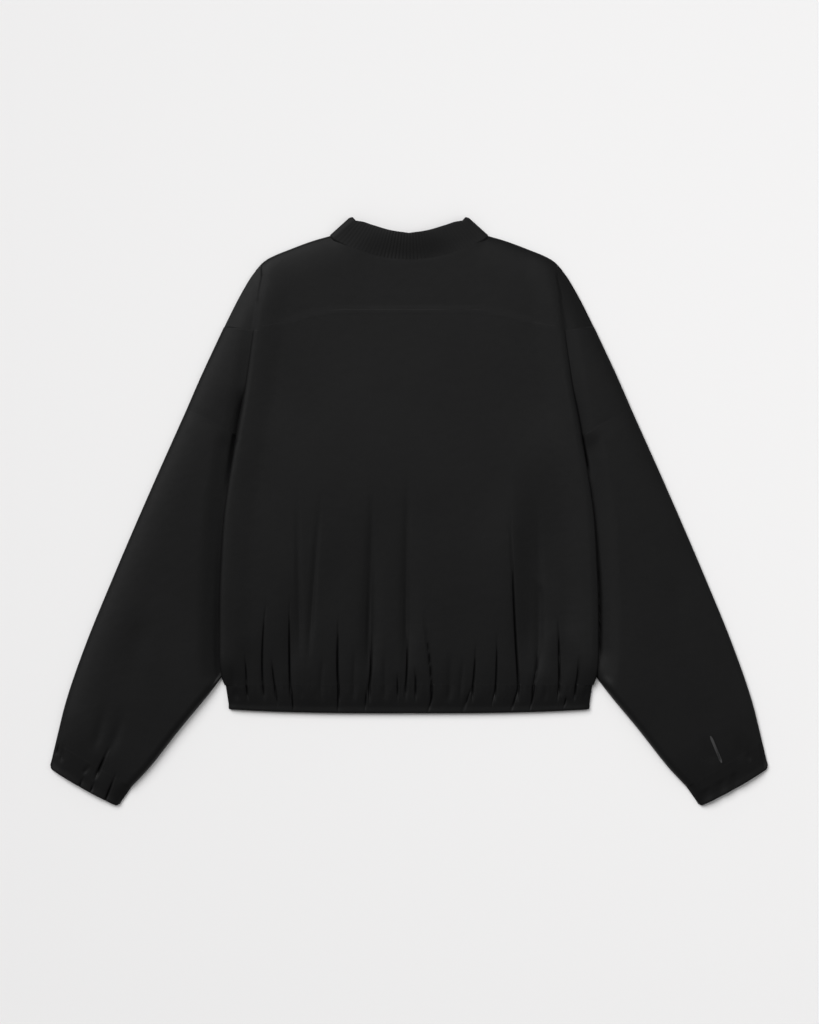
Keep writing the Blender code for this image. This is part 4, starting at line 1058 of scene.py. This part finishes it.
def make_collar(material):
    """The rib collar: folded flat, its ribbed back above and its two fronts below."""
    across = band_rows(COLLAR_LENGTH, COLLAR_FOLDED)
    lean_x, lean_y = COLLAR_SIDE[0] - COLLAR_TIP[0], COLLAR_TIP[1] - COLLAR_SIDE[1]
    lean = math.hypot(lean_x, lean_y)
    out_x, out_y = lean_y / lean, lean_x / lean
    height = COLLAR_HEIGHT + COLLAR_RISE * smooth(across)
    rise = height / 2
    radius = (height - RIB) / 2
    rounded = COLLAR_ROUNDING * np.clip((across - 0.86) / 0.14, 0, 1) ** 2
    side_x = COLLAR_SIDE[0] - lean_x * across - (COLLAR_TURN + rounded) * out_x
    side_y = COLLAR_SIDE[1] + lean_y * across - (COLLAR_TURN + rounded) * out_y
    turn = np.radians(np.linspace(-90, 90, 22)[1:-1])[None, :]
    reach = COLLAR_TURN * np.cos(turn)
    turned = lay(side_x + reach * out_x, side_y + reach * out_y, rise + radius * np.sin(turn))
    right = np.concatenate((collar_front(across, side_x, side_y, rise - radius), turned), axis=1)
    back = collar_back(across, side_x, side_y, rise + radius)
    grid = tuck(np.concatenate((right * (-1, 1, 1), back, right[:, ::-1]), axis=1))
    halves = folded_edge((1 - across) * COLLAR_LENGTH, RIB / 2, COLLAR_FOLDED)
    piece = make_sheet("collar_rib", grid, tucked_halves(halves, grid.shape[1]), tube=True)
    return dress(piece, material, "rib_knit", "collar")


def collar_back(across, side_x, side_y, level):
    """The collar's back, its ribs drawn flat towards its sides and its seam sunk in the middle."""
    back = np.linspace(-1, 1, RIB_COUNT * 8 + 1)[None, :]
    aside = np.abs(back)
    x = side_x * back
    seam_y = neck_seam_y(np.abs(x)) + SEAM_GAP / 2
    edge_y = read_curve(COLLAR_EDGE, "x", "y", COLLAR_TIP[0] * aside)
    end_y = mix(neck_seam_y(side_x) + SEAM_GAP / 2, COLLAR_TIP[1], across)
    y = mix(seam_y, edge_y, across) + (side_y - end_y) * aside**5
    ribs = np.cos(2 * np.pi * RIB_COUNT * (back + 1) / 2) * smooth((1 - aside) / 0.04)
    ribs = ribs * mix(RIB_STRETCHED, RIB_RELIEF, smooth((0.5 - aside) / 0.35))
    sunk = -COLLAR_SUNK * (1 - smooth(across / 0.9)) * smooth((0.78 - aside) / 0.5)
    return lay(x, y, level + ribs + sunk)


def collar_front(across, side_x, side_y, level):
    """The collar's right front, faintly ribbed, from the zip out to its side."""
    share = shares(90)[None, :]
    inner_x = ZIP_HALF + SEAM_GAP
    inner_y = mix(COLLAR_FRONT_SEAM_Y, COLLAR_FRONT_TOP_Y, across)
    ribs = np.cos(2 * np.pi * FRONT_RIB_COUNT * share) * smooth(share / 0.05) * smooth((1 - share) / 0.05)
    z = level + FRONT_RIB_RELIEF - FRONT_RIB_RELIEF * ribs
    return lay(mix(inner_x, side_x, share), mix(inner_y, side_y, share**NECK_BEND), z)


# Stitches and the zip

# The yoke's stitches stand up where the photo shows them, and lie deeper towards their ends.
STITCHES_SEEN_X = -20
STITCHES_SEEN_HALF = 46
STITCH_SUNK = 0.16
STITCH_PITCH = 3.3
STITCH_HALF = (1.15, 0.24, 0.2)
TOOTH_PITCH = 1.25
TOOTH_HALF = (1.9, 0.42, 0.5)
TOOTH_REACH = 1.1
TOOTH_LEVEL = 1.15
TAPE_LEVEL = 1.5
TAPE_HALF = 0.3
ZIP_TOP_Y = 283.7
ZIP_STITCH_X = 12
SLIDER_ROWS = ((284, 3.2), (286, 3.5), (289, 3.5), (292.5, 4.6), (295.5, 5.2), (298, 4.4))
PULL_ROWS = ((291, 1.2), (287, 1.4), (282, 2.3), (270, 2.5), (267, 1.9))


def make_beads(name, middles, directions, half_sizes):
    """A row of small rounded bars: blunt at their ends, and each turned to its own direction."""
    along = np.array([-1, -0.8, 0, 0.8, 1])
    girth = np.array([0.45, 0.85, 1, 0.85, 0.45])
    turns = np.linspace(0, 2 * np.pi, 6, endpoint=False)
    long, wide, high = half_sizes
    points = []
    faces = []
    ring = grid_faces(len(along), len(turns), closed=True)
    caps = ([5, 4, 3, 0], [3, 2, 1, 0], [24, 25, 26, 27], [24, 27, 28, 29])
    for number, (middle, (dx, dy)) in enumerate(zip(middles, directions)):
        forward = along[:, None] * long
        aside = girth[:, None] * np.cos(turns)[None, :] * wide
        up = girth[:, None] * np.sin(turns)[None, :] * high
        x = middle[0] + forward * dx - aside * dy
        y = middle[1] + forward * dy + aside * dx
        points.append(lay(x, y, middle[2] + up).reshape(-1, 3))
        start = number * len(along) * len(turns)
        faces.append(ring + start)
        faces.append(np.array(caps) + start)
    return make_mesh(name, np.concatenate(points), np.concatenate(faces))


def sew(name, line, material, slot):
    """A row of stitches along a line of points on the cloth."""
    line = np.asarray(line)
    lengths = np.concatenate(([0], np.cumsum(np.linalg.norm(np.diff(line, axis=0), axis=1))))
    places = np.arange(STITCH_PITCH / 2, lengths[-1], STITCH_PITCH)
    middles = np.stack([np.interp(places, lengths, line[:, k]) for k in range(3)], axis=1)
    ends = np.stack([np.interp(places + 0.5, lengths, line[:, k]) for k in range(2)], axis=1)
    steps = ends - middles[:, :2]
    steps = steps / np.maximum(np.linalg.norm(steps, axis=1, keepdims=True), 1e-6)
    piece = make_beads(name, middles, steps, STITCH_HALF)
    return dress(piece, material, slot)


def make_stitches(material):
    """The topstitching above the yoke seam, and beside the zip on each front."""
    x = np.linspace(10 - SEAM_FADE, SEAM_FADE - 10, 240)
    y = yoke_seam_y(x) + TOPSTITCH_RISE
    sunk = STITCH_SUNK * smooth((np.abs(x - STITCHES_SEEN_X) - STITCHES_SEEN_HALF) / 40)
    z = upper_level(x, y) + yoke_relief(x, y) + CLOTH / 2 + 0.02 - sunk
    sew("yoke_stitches", np.stack((x, y, z), axis=1), material, "shell_cloth")
    for side, hand in ((-1, "left"), (1, "right")):
        y = np.linspace(HEM_SEAM_Y + 2, COLLAR_FRONT_SEAM_Y - 34, 200)
        x = np.full_like(y, side * ZIP_STITCH_X)
        z = np.full_like(y, FRONT_LEVEL - CLOTH / 2 + 0.22)
        sew(f"zip_stitches_{hand}", np.stack((x, y, z), axis=1), material, "shell_cloth")


def make_zip(tape, metal):
    """The closed zip on the underside: two tapes, its two rows of teeth, and the slider with its pull."""
    rows = spaced(HEM_BOTTOM_Y + 1.2, ZIP_TOP_Y, 4)[:, None]
    points = []
    faces = []
    for side in (-1, 1):
        across = np.linspace(0.45, ZIP_HALF - 0.3, 7)[None, :]
        level = TAPE_LEVEL + 0.08 * np.sin(rows / 9 + side)
        grid = lay(side * across, rows, level)
        faces.append(grid_faces(*grid.shape[:2])[:, ::side] + sum(len(part) for part in points))
        points.append(grid.reshape(-1, 3))
    tapes = make_shell("zip_tapes", np.concatenate(points), np.concatenate(faces), TAPE_HALF)
    dress(tapes, tape, "zip_tape", "zip")
    places = np.arange(HEM_BOTTOM_Y + 3, ZIP_TOP_Y - 1, TOOTH_PITCH)
    sides = np.where(np.arange(len(places)) % 2 == 0, 1.0, -1.0)
    middles = np.stack((sides * TOOTH_REACH, places, np.full_like(places, TOOTH_LEVEL)), axis=1)
    directions = np.stack((sides, np.zeros_like(sides)), axis=1)
    dress(make_beads("zip_teeth", middles, directions, TOOTH_HALF), tape, "zip_tape")
    body = make_plates("zip_slider_body", ((SLIDER_ROWS, 0.75, 1.05), (SLIDER_ROWS, 2.15, 2.4)))
    dress(body, metal, "slider_metal", "zip_slider")
    pull = make_plates("zip_slider_pull", ((PULL_ROWS, 0.15, 0.6),))
    dress(pull, metal, "slider_metal")


def make_plates(name, plates):
    """Small metal plates, bowed outward in the middle and rounded off at their edges."""
    points = []
    faces = []
    across = np.array([[-1, -0.9, -0.5, 0, 0.5, 0.9, 1]])
    for rows, low, high in plates:
        y = np.array([row[0] for row in rows])[:, None]
        half = np.array([row[1] for row in rows])[:, None]
        x = half * across
        thick = (high - low) / 2 * (1 - 0.45 * np.abs(across) ** 6)
        start = sum(len(part) for part in points)
        for sign in (1, -1):
            grid = lay(x, y, (low + high) / 2 + sign * thick)
            points.append(grid.reshape(-1, 3))
        faces.append(closed_faces(grid_faces(*x.shape), x.size)[:, ::-1] + start)
    return make_mesh(name, np.concatenate(points), np.concatenate(faces))


# The tab

TAB_TOP = (381.6, -284.4)
TAB_END = (396, -318.2)
TAB_HALF = 1.6
TAB_THICK = 0.84
TAB_CLEAR = 0.5
TAB_BOW = 0.2


def make_tab(material):
    """The small plain tab that lies on the right sleeve, above its cuff."""
    along = shares(24)[:, None]
    across = np.linspace(-1, 1, 7)[None, :]
    length = math.hypot(TAB_END[0] - TAB_TOP[0], TAB_END[1] - TAB_TOP[1])
    out_x = (TAB_TOP[1] - TAB_END[1]) / length
    out_y = (TAB_END[0] - TAB_TOP[0]) / length
    half = TAB_HALF * (0.5 + 0.5 * smooth(np.minimum(along, 1 - along) / 0.12))
    x = mix(TAB_TOP[0], TAB_END[0], along) + half * out_x * across
    y = mix(TAB_TOP[1], TAB_END[1], along) + half * out_y * across
    z = sleeve_top(x, y, RIGHT_SLEEVE_FOLDS) + CLOTH / 2 + TAB_CLEAR + TAB_BOW * np.sin(np.pi * along)
    piece = make_sheet("sleeve_tab_tape", lay(x, y, z), TAB_THICK / 2)
    return dress(piece, material, "tab_tape", "sleeve_tab")


# Materials

def dress(piece, material, slot, *nodes):
    """Give a piece its material and its place in the frame, and hide the imported parts that it stands for.
    """
    piece.data.materials.append(material)
    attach(piece, "root")
    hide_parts(*nodes)
    return piece


def start_material(name):
    """A new material, with its nodes, its links and its shader."""
    material = bpy.data.materials.new(name)
    material.use_nodes = True
    tree = material.node_tree
    return material, tree.nodes, tree.links, tree.nodes["Principled BSDF"]


def add_node(nodes, kind, **values):
    """A node of one kind, with some of its inputs set."""
    node = nodes.new(f"ShaderNode{kind}")
    for name, value in values.items():
        node.inputs[name].default_value = value
    return node


def tint(nodes, links, pattern, dark, light, shader):
    """Let a pattern move the shader's colour between a dark and a light tone."""
    tone = nodes.new("ShaderNodeMix")
    tone.data_type = "RGBA"
    tone.inputs["A"].default_value = (*dark, 1)
    tone.inputs["B"].default_value = (*light, 1)
    links.new(pattern.outputs["Fac"], tone.inputs["Factor"])
    links.new(tone.outputs["Result"], shader.inputs["Base Color"])


def make_cloth(name, dark, light, specular, angle=0, roughness=0.45):
    """A fine plain weave with a soft satin sheen and slow variation in tone."""
    material, nodes, links, shader = start_material(name)
    place = nodes.new("ShaderNodeTexCoord")
    turn = add_node(nodes, "Mapping", Rotation=(0, 0, angle))
    links.new(place.outputs["Object"], turn.inputs["Vector"])
    clouds = add_node(nodes, "TexNoise", Scale=14, Detail=5)
    threads = []
    for direction in ("X", "Y"):
        wave = add_node(nodes, "TexWave", Scale=620, Distortion=0.6, Detail=1)
        wave.bands_direction = direction
        threads.append(wave)
    weave = nodes.new("ShaderNodeMath")
    weave.operation = "MAXIMUM"
    crumple = add_node(nodes, "TexNoise", Scale=90, Detail=4)
    for pattern in (clouds, crumple, *threads):
        links.new(turn.outputs["Vector"], pattern.inputs["Vector"])
    tint(nodes, links, clouds, dark, light, shader)
    fine = add_node(nodes, "Bump", Strength=0.25, Distance=0.00012)
    soft = add_node(nodes, "Bump", Strength=0.35, Distance=0.0006)
    links.new(threads[0].outputs["Fac"], weave.inputs[0])
    links.new(threads[1].outputs["Fac"], weave.inputs[1])
    links.new(weave.outputs["Value"], fine.inputs["Height"])
    links.new(crumple.outputs["Fac"], soft.inputs["Height"])
    links.new(fine.outputs["Normal"], soft.inputs["Normal"])
    links.new(soft.outputs["Normal"], shader.inputs["Normal"])
    shader.inputs["Roughness"].default_value = roughness
    shader.inputs["Specular IOR Level"].default_value = specular
    return material


def make_plain(name, colour, roughness):
    """A plain finish with a little grain."""
    material, nodes, links, shader = start_material(name)
    place = nodes.new("ShaderNodeTexCoord")
    grain = add_node(nodes, "TexNoise", Scale=900)
    links.new(place.outputs["Object"], grain.inputs["Vector"])
    dark = [value * 0.8 for value in colour]
    light = [value * 1.2 for value in colour]
    tint(nodes, links, grain, dark, light, shader)
    shader.inputs["Roughness"].default_value = roughness
    return material


# Floor, light and camera

FLOOR_REACH = 6000
FLOOR_LEVEL = -0.2

# Metres from the camera to the floor, the height of its picture in pixels, and millimetres in one of them.
CAMERA_AWAY = 4
PICTURE_HEIGHT = 1024
PIXEL = 1.27


def make_floor():
    """A plain pale floor just under the jacket."""
    square = ((-1, -1), (1, -1), (1, 1), (-1, 1))
    corners = [(FLOOR_REACH * x, FLOOR_REACH * y, FLOOR_LEVEL) for x, y in square]
    floor = make_mesh("floor", corners, [(0, 1, 2, 3)])
    material, _, _, shader = start_material("floor_paper")
    shader.inputs["Base Color"].default_value = (0.79, 0.785, 0.785, 1)
    shader.inputs["Roughness"].default_value = 0.9
    shader.inputs["Specular IOR Level"].default_value = 0.1
    floor.data.materials.append(material)


def make_light():
    """Soft light from all round, a broad key from the upper left, and softboxes above and on the right."""
    scene = bpy.context.scene
    scene.view_settings.view_transform = "Standard"
    scene.world = bpy.data.worlds.new("studio")
    scene.world.use_nodes = True
    background = scene.world.node_tree.nodes["Background"]
    background.inputs["Color"].default_value = (1, 1, 1, 1)
    background.inputs["Strength"].default_value = 0.305
    key = bpy.data.lights.new("key", "SUN")
    key.energy = 2.75
    key.angle = math.radians(40)
    place_light(key, (-0.8, 1, 1.3))
    softboxes = (("softbox", 0.8, 9, (0.2, 0.8, 2.35)), ("fill", 0.9, 3.8, (1.7, 0.1, 1.5)))
    for name, size, energy, place in softboxes:
        panel = bpy.data.lights.new(name, "AREA")
        panel.shape = "SQUARE"
        panel.size = size
        panel.energy = energy
        place_light(panel, place)


def place_light(light, place):
    """Put a light in its place, turned towards the jacket."""
    held = bpy.data.objects.new(light.name, light)
    held.location = place
    held.rotation_euler = (-Vector(place)).to_track_quat("-Z", "Y").to_euler()
    bpy.context.scene.collection.objects.link(held)


def make_camera():
    """A camera straight above the jacket, far enough off to see its outline square on."""
    seen = PICTURE_HEIGHT * PIXEL * MM
    camera = bpy.data.cameras.new("camera")
    camera.sensor_width = 36
    camera.lens = camera.sensor_width * CAMERA_AWAY / seen
    placed = bpy.data.objects.new("camera", camera)
    placed.location = (0.0006, -0.0006, CAMERA_AWAY)
    bpy.context.scene.collection.objects.link(placed)
    bpy.context.scene.camera = placed


def build_jacket():
    """Make every piece of cloth and its fittings."""
    dark = (0.0040, 0.0040, 0.0041)
    light = (0.0062, 0.0062, 0.0063)
    first, last = SLEEVE_SECTIONS[0], SLEEVE_SECTIONS[-1]
    slope = math.atan2(last.outer_x - first.outer_x, first.outer_y - last.outer_y)
    body_cloth = make_cloth("body_cloth", dark, light, 0.1)
    # The cuffs and the hem band are the shell's own cloth with a darker base colour: painted shade for the
    # gathered bands.
    cuff_cloth_painted_shade = make_cloth("cuff_cloth_painted_shade", (0.0038, 0.0038, 0.0039), (0.0058, 0.0058, 0.0059), 0.095)
    band_cloth = make_cloth("band_cloth", (0.0031, 0.0031, 0.0032), (0.0046, 0.0046, 0.0047), 0.075)
    rib = make_cloth("rib_knit", (0.0074, 0.0074, 0.0075), (0.0098, 0.0098, 0.0099), 0.09, roughness=0.55)
    tape = make_plain("zip_tape", (0.010, 0.010, 0.0105), 0.75)
    metal = make_plain("slider_metal", (0.03, 0.03, 0.032), 0.35)
    thread = make_plain("thread", (0.0055, 0.0055, 0.0056), 0.6)
    tab = make_plain("tab_tape", (0.016, 0.016, 0.0165), 0.65)
    sheets = {}
    sheets["back"] = make_back(body_cloth)
    sheets["yoke"] = make_yoke(body_cloth)
    sheets["band"] = make_hem_band(band_cloth)
    sheets["collar"] = make_collar(rib)
    hands = (
        (-1, "left", mirrored_folds(LEFT_SLEEVE_FOLDS), 0),
        (1, "right", RIGHT_SLEEVE_FOLDS, 1.3),
    )
    for side, hand, folds, ledge in hands:
        sleeve_cloth = make_cloth(f"sleeve_{hand}_cloth", dark, light, 0.1, side * slope)
        sheets[f"front_{hand}"] = make_front(side, f"front_{hand}", body_cloth)
        sheets[f"sleeve_{hand}"] = make_sleeve(side, f"sleeve_{hand}", folds, sleeve_cloth)
        sheets[f"cuff_{hand}"] = make_cuff(side, f"cuff_{hand}", folds, ledge, cuff_cloth_painted_shade)
    make_tab(tab)
    make_zip(tape, metal)
    make_stitches(thread)
    return sheets


# What each sheet was cut to, all round where it is a tube: width and length in metres, area in square metres.
CUTS = table(Cut, (
    ("back", 0.565, 0.475, 0.232, "laid"),
    ("yoke", 0.47, 0.12, 0.038, "laid"),
    ("front_left", 0.29, 0.565, 0.108, "laid"),
    ("front_right", 0.29, 0.565, 0.108, "laid"),
    ("sleeve_left", 0.45, 0.46, 0.150, "laid"),
    ("sleeve_right", 0.45, 0.46, 0.150, "laid"),
    ("cuff_left", 0.25, 0.036, 0.009, "gathered"),
    ("cuff_right", 0.25, 0.036, 0.009, "gathered"),
    ("band", 1.0, 0.037, 0.037, "gathered"),
    ("collar", 0.45, 0.035, 0.0157, "laid"),
))


sheets = build_jacket()
make_floor()
make_light()
make_camera()
